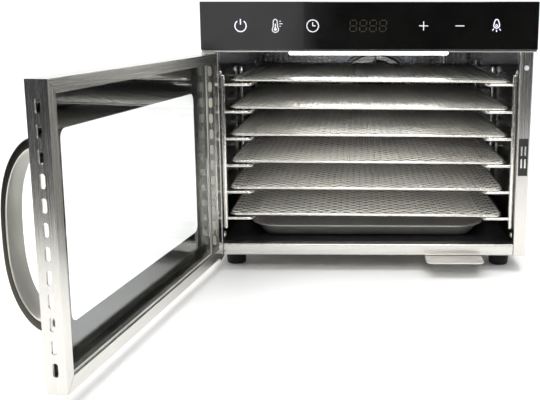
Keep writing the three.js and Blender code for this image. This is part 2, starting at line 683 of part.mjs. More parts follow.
function buildMotor() {
  const can = onFanAxis(MOTOR_FRONT, MOTOR_FRONT + MOTOR_LENGTH, MOTOR_RADIUS, 28);
  const ears = block(
    FAN_OFFSET - MOTOR_EAR,
    FAN_OFFSET + MOTOR_EAR,
    MOTOR_FRONT,
    MOTOR_FRONT + MOTOR_EAR_THICK,
    FAN_Z - MOTOR_EAR_WIDTH / 2,
    FAN_Z + MOTOR_EAR_WIDTH / 2,
  );
  const deep = MOTOR_FRONT + SHAFT_SOCKET + GAP;
  const mouth = onFanAxis(MOTOR_FRONT - ROOT, deep, SHAFT_RADIUS + SHAFT_CLEAR, 16);
  add(cabinet, 'fan_motor', cut(join(can, ears), mouth), HEATER_STEEL);
}

/** Two small sensors: the air probe on the baffle and the cut-out behind the rear liner. */
function buildSensors() {
  const x = PROBE_OFFSET;
  const z = ROOF_BOTTOM - PROBE_DROP;
  const face = BAFFLE_Y - GAP;
  const { width, height, thick } = PROBE_CLIP;
  const clip = block(x - width / 2, x + width / 2, face - thick, face, z - height / 2, z + height / 2);
  const left = x - PROBE_ARM / 2;
  const arm = block(left, left + PROBE_ARM, face - PROBE_REACH, face - ROOT, z - ROOT, z + ROOT);
  const [low, high] = PROBE_SPAN.map((offset) => [x, face - PROBE_REACH, z + offset]);
  add(cabinet, 'temperature_probe', join(clip, arm, rod(low, high, PROBE_RADIUS, 12)), BRIGHT_WIRE);
  const back = REAR_LINER_Y + LINER + GAP;
  const cutoutX = FAN_OFFSET + CUTOUT_OFFSET;
  const disc = rod([cutoutX, back, FAN_Z], [cutoutX, back + CUTOUT_DEPTH, FAN_Z], CUTOUT_RADIUS, 20);
  const ear = CUTOUT_EAR;
  const foot = FAN_Z - ear.height / 2;
  const ears = block(cutoutX - ear.half, cutoutX + ear.half, back, back + SHEET, foot, foot + ear.height);
  add(cabinet, 'thermal_cutout', join(disc, ears), BLACK_PLASTIC);
}

// ---------------------------------------------------------------- control head and lamp
function buildHead() {
  add(cabinet, 'control_glass', block(-HALF, HALF, -HEAD_REACH, PANE_BACK, HEAD_BOTTOM, TOP), BLACK_GLASS);
  const shell = block(-HALF, HALF, HEAD_FRONT, HOUSING_BACK, HEAD_BOTTOM, UNDER_TOP);
  const room = block(
    -HALF + HOUSING_WALL,
    HALF - HOUSING_WALL,
    HEAD_FRONT - ROOT,
    HOUSING_BACK - HOUSING_WALL,
    HEAD_BOTTOM + HOUSING_WALL,
    UNDER_TOP - HOUSING_WALL,
  );
  add(cabinet, 'head_housing', cut(shell, room), BLACK_PLASTIC);
  const middle = (HEAD_BOTTOM + UNDER_TOP) / 2;
  const half = (UNDER_TOP - HEAD_BOTTOM) / 2 - HOUSING_WALL - BOARD_MARGIN;
  const board = block(-BOARD_HALF, BOARD_HALF, BOARD_Y, BOARD_Y + BOARD_THICK, middle - half, middle + half);
  const front = HEAD_FRONT + GAP;
  const pads = PAD_OFFSETS.map((x) => rod([x, front, middle], [x, BOARD_Y + ROOT, middle], PAD_RADIUS, 12));
  add(cabinet, 'control_board', join(board, ...pads), BOARD_GREEN);
  const left = DISPLAY_OFFSET - DISPLAY_WIDTH / 2;
  const low = middle - DISPLAY_HEIGHT / 2;
  const display = block(left, left + DISPLAY_WIDTH, front, BOARD_Y - GAP, low, low + DISPLAY_HEIGHT);
  add(cabinet, 'display_module', display, BLACK_PLASTIC);
}

/** The power board on four stands above the cavity roof, with its transformer, relay and capacitor. */
function buildPowerBoard() {
  const seat = ROOF_BOTTOM + LINER + GAP;
  const under = seat + BOARD_STAND;
  const z = under + ROOT; // where what the board carries begins
  const half = POWER_BOARD / 2;
  const y = POWER_BOARD_Y;
  const stands = [-1, 1].flatMap((across) =>
    [-1, 1].map((along) => {
      const place = [across * (half - STAND_INSET), y + along * (half - STAND_INSET)];
      return rod([...place, seat], [...place, z], STAND_RADIUS, 10);
    }),
  );
  const board = block(-half, half, y - half, y + half, under, under + BOARD_THICK);
  const boxes = [TRANSFORMER, RELAY].map((piece) => {
    const left = piece.x - piece.width / 2;
    const front = y + piece.y - piece.depth / 2;
    return block(left, left + piece.width, front, front + piece.depth, z, z + piece.height);
  });
  const place = [CAPACITOR.x, y + CAPACITOR.y];
  const capacitor = rod([...place, z], [...place, z + CAPACITOR.height], CAPACITOR.radius, 14);
  add(cabinet, 'power_board', join(board, ...stands, ...boxes, capacitor), BOARD_GREEN);
}

/** The lamp: a trough of white plastic, open to the roof, with its board inside. */
function buildLamp() {
  const top = ROOF_BOTTOM - GAP;
  const half = LAMP_LENGTH / 2;
  const back = LAMP_SETBACK + LAMP_WIDTH;
  const trough = block(-half, half, LAMP_SETBACK, back, top - LAMP_DEPTH, top);
  const room = block(
    -half + LAMP_WALL,
    half - LAMP_WALL,
    LAMP_SETBACK + LAMP_WALL,
    back - LAMP_WALL,
    top - LAMP_DEPTH + LAMP_WALL,
    top + ROOT,
  );
  add(cabinet, 'lamp_lens', cut(trough, room), WHITE_PLASTIC);
  const inset = LAMP_WALL + GAP;
  const reach = half - inset;
  const board = block(-reach, reach, LAMP_SETBACK + inset, back - inset, top - BOARD_THICK, top);
  add(cabinet, 'lamp_board', board, WHITE_PLASTIC);
}

// ---------------------------------------------------------------- racks and trays
/** One rail's route: in from the front upright, back along the cavity and out to the rear upright. */
function railPoints(z) {
  const inner = RACK_X - RACK_REACH;
  const point = (x, y) => new THREE.Vector3(x, y, z);
  const bends = [
    [point(inner + RAIL_BEND, RACK_FRONT), point(inner, RACK_FRONT), point(inner, RACK_FRONT + RAIL_BEND)],
    [point(inner, RACK_BACK - RAIL_BEND), point(inner, RACK_BACK), point(inner + RAIL_BEND, RACK_BACK)],
  ];
  const curved = bends.flatMap((corners) => new THREE.QuadraticBezierCurve3(...corners).getPoints(3));
  return [point(RACK_X, RACK_FRONT), ...curved, point(RACK_X, RACK_BACK)];
}

function buildRacks() {
  const low = railHeight(TRAY_COUNT - 1) - RACK_TAIL;
  const high = railHeight(0) + RACK_HEAD;
  const halfway = (RACK_FRONT + RACK_BACK) / 2;
  const parts = [RACK_FRONT, halfway, RACK_BACK].map((y) =>
    rod([RACK_X, y, low], [RACK_X, y, high], POST_WIRE / 2, 10),
  );
  for (let k = 0; k < TRAY_COUNT; k += 1) {
    const z = railHeight(k);
    parts.push(levelWire(railPoints(z), RAIL_WIRE / 2));
    parts.push(rod([RACK_X, halfway, z], [RACK_X - RACK_REACH, halfway, z], RAIL_WIRE / 2, 6));
  }
  const right = join(...parts);
  add(cabinet, 'rack_right', right, BRIGHT_WIRE);
  add(cabinet, 'rack_left', mirrored(right), BRIGHT_WIRE);
}

/** A tray: a rim of wire round a woven sheet, here a thin plate. */
function buildTrays() {
  const ring = roundedRectangle(TRAY_WIDTH, TRAY_DEPTH, TRAY_CORNER);
  const inner = [TRAY_WIDTH - 2 * TRAY_RIM, TRAY_DEPTH - 2 * TRAY_RIM, TRAY_CORNER - TRAY_RIM];
  ring.holes.push(roundedRectangle(...inner, new THREE.Path()));
  const sheet = roundedRectangle(TRAY_WIDTH - TRAY_RIM, TRAY_DEPTH - TRAY_RIM, TRAY_CORNER - TRAY_RIM / 2);
  const tray = join(levelPlate(ring, 0, TRAY_RIM), levelPlate(sheet, (TRAY_RIM - TRAY_MESH) / 2, TRAY_MESH));
  for (let k = 0; k < TRAY_COUNT; k += 1) {
    const bottom = railHeight(k) + RAIL_WIRE / 2 + GAP;
    const lying = tray.clone().translate(0, TRAY_FRONT + TRAY_DEPTH / 2, bottom);
    add(cabinet, `tray_${k + 1}`, lying, BRIGHT_WIRE);
  }
}

/** A level ring of points round a rounded rectangle. */
function rectangleRing(width, depth, radius, z) {
  const points = roundedRectangle(width, depth, radius).getPoints(3);
  const apart = points.filter((point, k) => k === 0 || point.distanceTo(points[k - 1]) > 1e-6);
  if (apart.at(-1).distanceTo(apart[0]) < 1e-6) apart.pop();
  return apart.map((point) => new THREE.Vector3(point.x, point.y + DRIP_FRONT + DRIP_DEPTH / 2, z));
}

/** The drip tray: a pan with flared walls, round corners and a flat rim. */
function buildDripTray() {
  const bottom = FLOOR_TOP + GAP;
  const rim = bottom + DRIP_HEIGHT;
  const foot = DRIP_RIM + DRIP_FLARE;
  const ring = (inset, z) =>
    rectangleRing(DRIP_WIDTH - 2 * inset, DRIP_DEPTH - 2 * inset, DRIP_CORNER - inset, z);
  const rings = [
    ring(foot, bottom),
    ring(DRIP_RIM, rim - DRIP_WALL),
    ring(0, rim - DRIP_WALL),
    ring(0, rim),
    ring(DRIP_RIM + DRIP_WALL, rim),
    ring(foot + DRIP_WALL, bottom + DRIP_WALL),
  ];
  add(cabinet, 'drip_tray', loft(rings), STEEL);
}

// ---------------------------------------------------------------- feet and small fittings
function buildFeet() {
  const profile = [
    [0, 0],
    [FOOT_BOTTOM_RADIUS, 0],
    [FOOT_TOP_RADIUS, FOOT_HEIGHT * FOOT_TAPER],
    [FOOT_TOP_RADIUS, FOOT_HEIGHT - GAP],
    [0, FOOT_HEIGHT - GAP],
  ].map(([radius, height]) => new THREE.Vector2(radius, height));
  const foot = bare(new THREE.LatheGeometry(profile, 20).rotateX(Math.PI / 2));
  for (const [end, y] of [['front', FOOT_INSET_Y], ['rear', BODY_DEPTH - FOOT_INSET_Y]]) {
    for (const [name, side] of [['left', -1], ['right', 1]]) {
      const x = side * (HALF - FOOT_INSET_X);
      add(cabinet, `foot_${end}_${name}`, foot.clone().translate(x, y, 0), RUBBER);
    }
  }
}

function buildFittings() {
  const housing = block(
    POST_X - CATCH_WIDTH / 2,
    POST_X + CATCH_WIDTH / 2,
    -CATCH_PROUD,
    CATCH_DEPTH - CATCH_PROUD,
    CATCH_Z - CATCH_HEIGHT / 2,
    CATCH_Z + CATCH_HEIGHT / 2,
  );
  add(cabinet, 'magnet_catch', housing, BLACK_PLASTIC);
  const cap = rod([POST_X, -BUMPER_PROUD, BUMPER_Z], [POST_X, -GAP, BUMPER_Z], BUMPER_RADIUS, 20);
  const stem = rod([POST_X, -ROOT, BUMPER_Z], [POST_X, POST_DEPTH / 2, BUMPER_Z], BUMPER_STEM, 12);
  add(cabinet, 'door_bumper', join(cap, stem), WHITE_PLASTIC);
  const half = TAB_WIDTH / 2;
  const front = -TAB_REACH;
  const plate = outline(
    [-half, TAB_TAIL],
    [-half, front + TAB_CORNER],
    [-half + TAB_CORNER, front],
    [half - TAB_CORNER, front],
    [half, front + TAB_CORNER],
    [half, TAB_TAIL],
  );
  const tab = levelPlate(plate, BASE - GAP - TAB_THICK, TAB_THICK).translate(TAB_OFFSET, 0, 0);
  add(cabinet, 'door_rest_tab', tab, STEEL);
}

// ---------------------------------------------------------------- hinges
/** A bracket plate from the cabinet's left edge, with the hole for its pin. */
function bracket(width, back, z, thick) {
  const front = PIVOT_Y - DOOR_THICK / 2 + BRACKET_SETBACK;
  const right = -HALF + width;
  const shape = outline([-HALF, front], [right, front], [right, back], [-HALF, back]);
  shape.holes.push(roundHole(PIVOT_X, PIVOT_Y, PIN_RADIUS + PIN_CLEAR));
  return levelPlate(shape, z, thick, 5);
}

function buildHinges() {
  const pinTop = HEADER_BOTTOM - GAP;
  const upper = bracket(UPPER_BRACKET_WIDTH, -GAP, pinTop - UPPER_BRACKET_THICK, UPPER_BRACKET_THICK);
  add(cabinet, 'hinge_bracket_upper', upper, STEEL);
  const seat = BASE - GAP - LOWER_BRACKET_THICK;
  const lower = bracket(LOWER_BRACKET_WIDTH, LOWER_BRACKET_TAIL, seat, LOWER_BRACKET_THICK);
  add(cabinet, 'hinge_bracket_lower', lower, STEEL);
  const pin = (z0, z1) => rod([PIVOT_X, PIVOT_Y, z0], [PIVOT_X, PIVOT_Y, z1], PIN_RADIUS, 20);
  add(cabinet, 'hinge_pin_upper', pin(DOOR_TOP - PIN_REACH, pinTop), BRIGHT_WIRE);
  add(cabinet, 'hinge_pin_lower', pin(seat, DOOR_BOTTOM + PIN_REACH), BRIGHT_WIRE);
}

// ---------------------------------------------------------------- door
// The door is laid out closed, with X along it from the pivot and Y through it from the middle of
// its thickness.

/** One side of the frame along Z: a wall at X = 0 and a flange on its inner face, mitred at both ends. */
function frameSide(length) {
  const inner = DOOR_THICK / 2;
  const profile = outline(
    [0, -inner],
    [SHEET, -inner],
    [SHEET, inner - SHEET],
    [DOOR_FLANGE, inner - SHEET],
    [DOOR_FLANGE, inner],
    [0, inner],
  );
  const reach = DOOR_FLANGE + DOOR_THICK; // past the flange
  const start = GAP / Math.SQRT2; // half of the gap left along a mitre
  const end = length - start;
  const outer = [[start - ROOT, -ROOT], [end + ROOT, -ROOT]];
  const keep = outline(...outer, [end - reach, reach], [start + reach, reach]);
  const wedge = placed(extruded(keep, 2 * DOOR_THICK), axes([0, 0, 1], [1, 0, 0], [0, 1, 0]));
  wedge.translate(0, -DOOR_THICK, 0);
  return toGeometry(toManifold(extruded(profile, length)).intersect(toManifold(wedge)));
}

function slotCuts() {
  const bar = extruded(slotShape(SLOT_WIDTH, SLOT_LENGTH), 3 * SHEET);
  const slot = placed(bar, axes([0, 1, 0], [0, 0, 1], [1, 0, 0]));
  return Array.from({ length: SLOT_COUNT }, (_, k) =>
    slot.clone().translate(-SHEET, 0, DOOR_HEIGHT / 2 + (k - (SLOT_COUNT - 1) / 2) * SLOT_PITCH),
  );
}

function buildDoorFrame() {
  const stile = cut(frameSide(DOOR_HEIGHT), ...slotCuts());
  add(door, 'door_hinge_stile', stile.clone().translate(HINGE_EDGE, 0, DOOR_BOTTOM), STEEL);
  add(door, 'door_free_stile', mirrored(stile).translate(FREE_EDGE, 0, DOOR_BOTTOM), STEEL);
  // a rail is the same section laid along X, its wall below for the bottom rail and above for the top one
  const pinHole = rod([0, 0, -2 * SHEET], [0, 0, 2 * SHEET], PIN_RADIUS + PIN_CLEAR, 20);
  const laid = placed(frameSide(DOOR_LENGTH), axes([0, 0, 1], [0, 1, 0], [1, 0, 0]));
  const rail = cut(laid.translate(HINGE_EDGE, 0, 0), pinHole);
  const flipped = placed(rail, new THREE.Matrix4().makeScale(1, 1, -1));
  add(door, 'door_bottom_rail', rail.translate(0, 0, DOOR_BOTTOM), STEEL);
  add(door, 'door_top_rail', flipped.translate(0, 0, DOOR_TOP), STEEL);
}

/** A block inset by the same amount from the door's four edges. */
const insetBlock = (inset, y0, y1) =>
  block(HINGE_EDGE + inset, FREE_EDGE - inset, y0, y1, DOOR_BOTTOM + inset, DOOR_TOP - inset);

function buildDoorGlass() {
  const holes = SCREW_HEIGHTS.map((z) =>
    rod([HANDLE_X, -DOOR_THICK, z], [HANDLE_X, 0, z], SCREW_RADIUS + SCREW_CLEAR, 16),
  );
  const pane = insetBlock(SHEET + GLASS_CLEAR, -DOOR_THICK / 2, DOOR_PANE_BACK);
  add(door, 'door_glass', cut(pane, ...holes), CLEAR_GLASS);
  const seat = DOOR_PANE_BACK + GAP;
  const slab = insetBlock(GASKET_INSET, seat, seat + GASKET_HEIGHT);
  const room = insetBlock(GASKET_INSET + GASKET_WIDTH, -DOOR_THICK, DOOR_THICK);
  add(door, 'door_gasket', cut(slab, room), SILICONE);
}

/** Points of the handle's outline from its lower to its upper foot, as [away from the door, height]. */
function handleArc(span, reach) {
  const [along, away] = HANDLE_POWERS;
  return Array.from({ length: HANDLE_STEPS + 1 }, (_, k) => {
    const share = -Math.cos((Math.PI * k) / HANDLE_STEPS);
    const rise = (1 - Math.abs(share) ** along) ** (1 / away);
    return [-reach * rise, (span / 2) * share];
  });
}

function buildHandle() {
  const outer = handleArc(HANDLE_SPAN, HANDLE_REACH);
  const inner = handleArc(HANDLE_SPAN - 2 * HANDLE_FOOT, HANDLE_REACH - HANDLE_STRAP);
  const bow = extruded(outline(...outer, ...inner.reverse()), HANDLE_WIDTH);
  const strap = placed(bow, axes([0, 1, 0], [0, 0, 1], [1, 0, 0]));
  strap.translate(HANDLE_X - HANDLE_WIDTH / 2, -DOOR_THICK / 2 - GAP, HANDLE_Z);
  const face = -DOOR_THICK / 2;
  const threads = SCREW_HEIGHTS.map((z) =>
    rod([HANDLE_X, face - SCREW_DEPTH - GAP, z], [HANDLE_X, face + ROOT, z], SCREW_RADIUS + GAP, 12),
  );
  // a short block in each foot gives its screw something to hold
  const feet = SCREW_HEIGHTS.map((z) =>
    block(
      HANDLE_X - HANDLE_WIDTH / 2,
      HANDLE_X + HANDLE_WIDTH / 2,
      face - SCREW_DEPTH - SCREW_BLOCK,
      face - GAP,
      z - HANDLE_FOOT / 2,
      z + HANDLE_FOOT / 2,
    ),
  );
  add(door, 'door_handle', cut(join(strap, ...feet), ...threads), STEEL);
  SCREW_HEIGHTS.forEach((z, k) => {
    const seat = DOOR_PANE_BACK + GAP;
    const head = rod([HANDLE_X, seat, z], [HANDLE_X, seat + SCREW_HEAD_THICK, z], SCREW_HEAD_RADIUS, 16);
    const shank = rod([HANDLE_X, face - SCREW_DEPTH, z], [HANDLE_X, seat + ROOT, z], SCREW_RADIUS, 12);
    add(door, `handle_screw_${k ? 'upper' : 'lower'}`, join(head, shank), BRIGHT_WIRE);
  });
}

buildShell();
buildRearCover();
buildInlet();
buildFrontFrame();
buildLiners();
buildHeater();
buildFanGuard();
buildFan();
buildMotor();
buildSensors();
buildHead();
buildPowerBoard();
buildLamp();
buildRacks();
buildTrays();
buildDripTray();
buildFeet();
buildFittings();
buildHinges();
buildDoorFrame();
buildDoorGlass();
buildHandle();

door.position.set(PIVOT_X, PIVOT_Y, 0);
door.rotation.z = -THREE.MathUtils.degToRad(DOOR_OPEN);

// ---------------------------------------------------------------- origin under the whole object's middle
const dehydrator = new THREE.Group();
dehydrator.name = 'food_dehydrator';
dehydrator.add(cabinet, door);
dehydrator.updateMatrixWorld(true);
const middle = new THREE.Box3().setFromObject(dehydrator, true).getCenter(new THREE.Vector3());
dehydrator.position.set(-middle.x, -middle.y, 0);
dehydrator.updateMatrixWorld(true);

export default dehydrator;
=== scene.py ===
import json
from math import pi, radians

import bmesh
import bpy
import numpy as np
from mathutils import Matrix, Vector


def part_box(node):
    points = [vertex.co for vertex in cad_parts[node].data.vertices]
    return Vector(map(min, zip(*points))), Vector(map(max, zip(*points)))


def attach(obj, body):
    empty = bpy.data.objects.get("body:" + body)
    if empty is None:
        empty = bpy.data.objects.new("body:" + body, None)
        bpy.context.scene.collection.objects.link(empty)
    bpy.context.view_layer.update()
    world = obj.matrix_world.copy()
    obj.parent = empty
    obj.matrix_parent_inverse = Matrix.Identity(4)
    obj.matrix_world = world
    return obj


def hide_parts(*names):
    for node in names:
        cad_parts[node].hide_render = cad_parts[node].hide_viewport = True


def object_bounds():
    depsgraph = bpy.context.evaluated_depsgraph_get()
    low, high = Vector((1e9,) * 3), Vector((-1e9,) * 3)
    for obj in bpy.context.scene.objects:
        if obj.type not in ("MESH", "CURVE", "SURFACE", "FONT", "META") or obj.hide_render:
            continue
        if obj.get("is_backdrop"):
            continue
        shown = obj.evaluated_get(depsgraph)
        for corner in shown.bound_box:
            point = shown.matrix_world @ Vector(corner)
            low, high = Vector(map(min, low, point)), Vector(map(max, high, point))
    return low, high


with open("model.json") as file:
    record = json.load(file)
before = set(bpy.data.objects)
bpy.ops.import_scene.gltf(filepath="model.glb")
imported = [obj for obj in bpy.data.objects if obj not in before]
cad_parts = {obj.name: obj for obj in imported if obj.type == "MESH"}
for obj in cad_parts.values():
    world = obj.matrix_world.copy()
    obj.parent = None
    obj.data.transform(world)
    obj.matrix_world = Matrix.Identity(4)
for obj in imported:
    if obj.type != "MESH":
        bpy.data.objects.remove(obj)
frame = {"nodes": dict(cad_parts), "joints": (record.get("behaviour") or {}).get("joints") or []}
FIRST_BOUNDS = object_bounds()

bl_info = {
    "name": "Food dehydrator",
    "version": (1, 0, 0),
    "blender": (4, 5, 0),
    "location": "View3D > Sidebar > Dehydrator",
    "description": "Builds the finished surfaces of a bench-top food dehydrator round its frame",
    "category": "Object",
}

MM = 0.001
UP = np.array((0.0, 0.0, 1.0))
RIGHT = np.array((1.0, 0.0, 0.0))
BACK = np.array((0.0, 1.0, 0.0))


# ---------------------------------------------------------------- places taken from the frame
def corners(node):
    """Lowest and highest corner of a CAD node, as arrays."""
    low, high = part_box(node)
    return np.array(low), np.array(high)


def middle(node):
    """Middle of a CAD node's box."""
    low, high = corners(node)
    return (low + high) / 2


DOOR_HINGE = next(joint for joint in frame["joints"] if joint["name"] == "door_hinge")
PIVOT = np.array(DOOR_HINGE["pos_m"])
DOOR_OPEN = radians(-DOOR_HINGE["range_deg"][0])
ALONG_DOOR = np.array((np.cos(DOOR_OPEN), -np.sin(DOOR_OPEN), 0.0))
THROUGH_DOOR = np.array((np.sin(DOOR_OPEN), np.cos(DOOR_OPEN), 0.0))


def node_points(node):
    """A CAD node's points, one row each."""
    mesh = frame["nodes"][node].data
    points = np.empty(len(mesh.vertices) * 3, np.float32)
    mesh.vertices.foreach_get("co", points)
    return points.reshape(-1, 3).astype(float)


def door_box(node):
    """Lowest and highest corner of a door node: along the door, through it (inner face highest) and up."""
    points = node_points(node)
    flat = points - PIVOT * (1, 1, 0)
    own = np.stack((flat @ ALONG_DOOR, flat @ THROUGH_DOOR, points[:, 2]), axis=1)
    return own.min(0), own.max(0)


def from_door(points):
    """Points given along the door, through it and up, in the row frame."""
    points = np.asarray(points, float)
    flat = PIVOT * (1, 1, 0)
    return flat + points[..., :1] * ALONG_DOOR + points[..., 1:2] * THROUGH_DOOR + points[..., 2:] * UP


CENTRE_X = middle("top_cover")[0]
FRONT = corners("front_post_right")[0][1]
TRAYS = [f"tray_{k}" for k in range(1, 7)]
FAN = middle("fan_shaft")


# ---------------------------------------------------------------- settings
class DehydratorColours(bpy.types.PropertyGroup):
    """Colours that a user would change."""

    steel: bpy.props.FloatVectorProperty(
        name="Steel",
        description="Brushed outer steel",
        subtype="COLOR",
        default=(0.66, 0.645, 0.61),
    )
    liner: bpy.props.FloatVectorProperty(
        name="Liner",
        description="Dark polished steel of the cavity",
        subtype="COLOR",
        default=(0.22, 0.23, 0.25),
    )
    wire: bpy.props.FloatVectorProperty(
        name="Wire",
        description="Bright wire of racks and trays",
        subtype="COLOR",
        default=(0.82, 0.80, 0.76),
    )
    symbols: bpy.props.FloatVectorProperty(
        name="Symbols",
        description="Printed touch symbols",
        subtype="COLOR",
        default=(0.86, 0.86, 0.9),
    )


class DehydratorSizes(bpy.types.PropertyGroup):
    """Sizes that a user would change."""

    weave_pitch: bpy.props.FloatProperty(
        name="Weave pitch", description="Between neighbouring wires of a tray", default=7 * MM, unit="LENGTH"
    )
    weave_wire: bpy.props.FloatProperty(
        name="Weave wire", description="Diameter of a tray's woven wire", default=1.25 * MM, unit="LENGTH"
    )
    tray_lift: bpy.props.FloatProperty(
        name="Tray lift",
        description="How far a tray's left side stands off its rail",
        default=1.6 * MM,
        unit="LENGTH",
    )
    door_border: bpy.props.FloatProperty(
        name="Door border",
        description="Width of the black print round the window",
        default=37.5 * MM,
        unit="LENGTH",
    )
    window_corner: bpy.props.FloatProperty(
        name="Window corner", description="Corner radius of the window", default=7 * MM, unit="LENGTH"
    )
    symbol_height: bpy.props.FloatProperty(
        name="Symbol height", description="Height of a touch symbol", default=13 * MM, unit="LENGTH"
    )
    symbol_line: bpy.props.FloatProperty(
        name="Symbol line", description="Line width of a touch symbol", default=1.05 * MM, unit="LENGTH"
    )
    lens: bpy.props.FloatProperty(
        name="Lens", description="Focal length of the camera", default=55.85, unit="CAMERA"
    )


def colours():
    return bpy.context.scene.dehydrator_colours


def sizes():
    return bpy.context.scene.dehydrator_sizes


# ---------------------------------------------------------------- materials
def new_material(name):
    """A material with its shader, as (material, nodes, links, shader)."""
    material = bpy.data.materials.new(name)
    material.use_nodes = True
    nodes = material.node_tree.nodes
    return material, nodes, material.node_tree.links, nodes["Principled BSDF"]


def object_vector(nodes, links, scale, turn=0.0):
    """Object coordinates turned about Z and then stretched, for patterns that run one way."""
    place = nodes.new("ShaderNodeTexCoord")
    turned = nodes.new("ShaderNodeMapping")
    turned.inputs["Rotation"].default_value = (0, 0, turn)
    stretched = nodes.new("ShaderNodeMapping")
    stretched.inputs["Scale"].default_value = scale
    links.new(place.outputs["Object"], turned.inputs["Vector"])
    links.new(turned.outputs["Vector"], stretched.inputs["Vector"])
    return stretched.outputs["Vector"]


def noise(nodes, links, vector, detail=2.0, roughness=0.5):
    """The value of a noise of scale 1 on a stretched vector."""
    texture = nodes.new("ShaderNodeTexNoise")
    texture.inputs["Scale"].default_value = 1.0
    texture.inputs["Detail"].default_value = detail
    texture.inputs["Roughness"].default_value = roughness
    links.new(vector, texture.inputs["Vector"])
    return texture.outputs["Fac"]


def ranged(nodes, links, value, low, high, start=0.3, end=0.7):
    """A value from start to end spread over low to high."""
    spread = nodes.new("ShaderNodeMapRange")
    spread.inputs["From Min"].default_value = start
    spread.inputs["From Max"].default_value = end
    spread.inputs["To Min"].default_value = low
    spread.inputs["To Max"].default_value = high
    links.new(value, spread.inputs["Value"])
    return spread.outputs["Result"]


def shaded(nodes, links, value, dark, light, start=0.3, end=0.7):
    """Two colours mixed by a value."""
    ramp = nodes.new("ShaderNodeValToRGB")
    ramp.color_ramp.elements[0].position = start
    ramp.color_ramp.elements[0].color = (*dark, 1)
    ramp.color_ramp.elements[1].position = end
    ramp.color_ramp.elements[1].color = (*light, 1)
    links.new(value, ramp.inputs["Fac"])
    return ramp.outputs["Color"]


def bumped(nodes, links, shader, value, distance, strength=0.5):
    """A fine relief from a value, its height in metres."""
    bump = nodes.new("ShaderNodeBump")
    bump.inputs["Strength"].default_value = strength
    bump.inputs["Distance"].default_value = distance
    links.new(value, bump.inputs["Height"])
    links.new(bump.outputs["Normal"], shader.inputs["Normal"])


ALONG = {"X": (14, 1900, 1900), "Y": (1900, 14, 1900), "Z": (1900, 1900, 14)}  # cycles per metre


def brushed(name, colour, along="X", turn=0.0, roughness=0.24, contrast=0.1, relief=0.006 * MM):
    """Brushed steel: streaks along one direction in its colour, gloss and relief, with broad faint clouds."""
    material, nodes, links, shader = new_material(name)
    colour = np.array(colour[:3])
    streak = noise(nodes, links, object_vector(nodes, links, ALONG[along], turn), 3.0, 0.6)
    cloud = noise(nodes, links, object_vector(nodes, links, (14, 14, 14)), 2.0)
    both = nodes.new("ShaderNodeMath")
    both.operation = "MULTIPLY_ADD"
    both.inputs[1].default_value = 0.35
    links.new(cloud, both.inputs[0])
    links.new(streak, both.inputs[2])
    dark, light = colour * (1 - contrast), np.minimum(colour * (1 + contrast / 2), 1)
    tone = shaded(nodes, links, both.outputs[0], dark, light, 0.45, 0.85)
    links.new(tone, shader.inputs["Base Color"])
    gloss = ranged(nodes, links, streak, roughness * 0.8, roughness * 1.25)
    links.new(gloss, shader.inputs["Roughness"])
    shader.inputs["Metallic"].default_value = 1.0
    bumped(nodes, links, shader, streak, relief)
    return material


def polished(name, colour, roughness=0.14, scale=60.0, relief=0.01 * MM):
    """Smooth metal with soft clouds in its gloss and a slight unevenness."""
    material, nodes, links, shader = new_material(name)
    colour = np.array(colour[:3])
    cloud = noise(nodes, links, object_vector(nodes, links, (scale, scale, scale)), 3.0)
    light = np.minimum(colour * 1.05, 1)
    links.new(shaded(nodes, links, cloud, colour * 0.86, light), shader.inputs["Base Color"])
    links.new(ranged(nodes, links, cloud, roughness * 0.7, roughness * 1.5), shader.inputs["Roughness"])
    shader.inputs["Metallic"].default_value = 1.0
    bumped(nodes, links, shader, cloud, relief, 0.3)
    return material


def satin(name, colour, metallic=0.6):
    """Bead-blasted metal: part mirror and part matt, with a fine even grain."""
    material, nodes, links, shader = new_material(name)
    colour = np.array(colour[:3])
    grain = noise(nodes, links, object_vector(nodes, links, (1400, 1400, 1400)), 2.0)
    cloud = noise(nodes, links, object_vector(nodes, links, (25, 25, 25)), 2.0)
    light = np.minimum(colour * 1.08, 1)
    links.new(shaded(nodes, links, cloud, colour * 0.9, light), shader.inputs["Base Color"])
    links.new(ranged(nodes, links, grain, 0.28, 0.42), shader.inputs["Roughness"])
    shader.inputs["Metallic"].default_value = metallic
    bumped(nodes, links, shader, grain, 0.012 * MM)
    return material


def moulded(name, colour, roughness=0.5, grain=2600.0, relief=0.02 * MM, specular=0.5):
    """Plastic, rubber or paint with a fine grain and a faint change of tone."""
    material, nodes, links, shader = new_material(name)
    colour = np.array(colour[:3])
    tone = noise(nodes, links, object_vector(nodes, links, (35, 35, 35)), 2.0)
    fine = noise(nodes, links, object_vector(nodes, links, (grain, grain, grain)), 2.0)
    links.new(shaded(nodes, links, tone, colour * 0.8, colour * 1.15), shader.inputs["Base Color"])
    gloss = ranged(nodes, links, fine, roughness * 0.85, min(roughness * 1.2, 1))
    links.new(gloss, shader.inputs["Roughness"])
    shader.inputs["Specular IOR Level"].default_value = specular
    bumped(nodes, links, shader, fine, relief)
    return material


def glossy_black(name, colour, roughness=0.05):
    """Black-backed glass: a deep gloss with the faintest haze of handling."""
    material, nodes, links, shader = new_material(name)
    haze = noise(nodes, links, object_vector(nodes, links, (22, 22, 22)), 4.0, 0.6)
    colour = np.array(colour)
    links.new(shaded(nodes, links, haze, colour * 0.7, colour * 1.6), shader.inputs["Base Color"])
    links.new(ranged(nodes, links, haze, roughness * 0.6, roughness * 1.8), shader.inputs["Roughness"])
    shader.inputs["IOR"].default_value = 1.5
    shader.inputs["Coat Weight"].default_value = 0.3
    shader.inputs["Coat Roughness"].default_value = 0.02
    return material


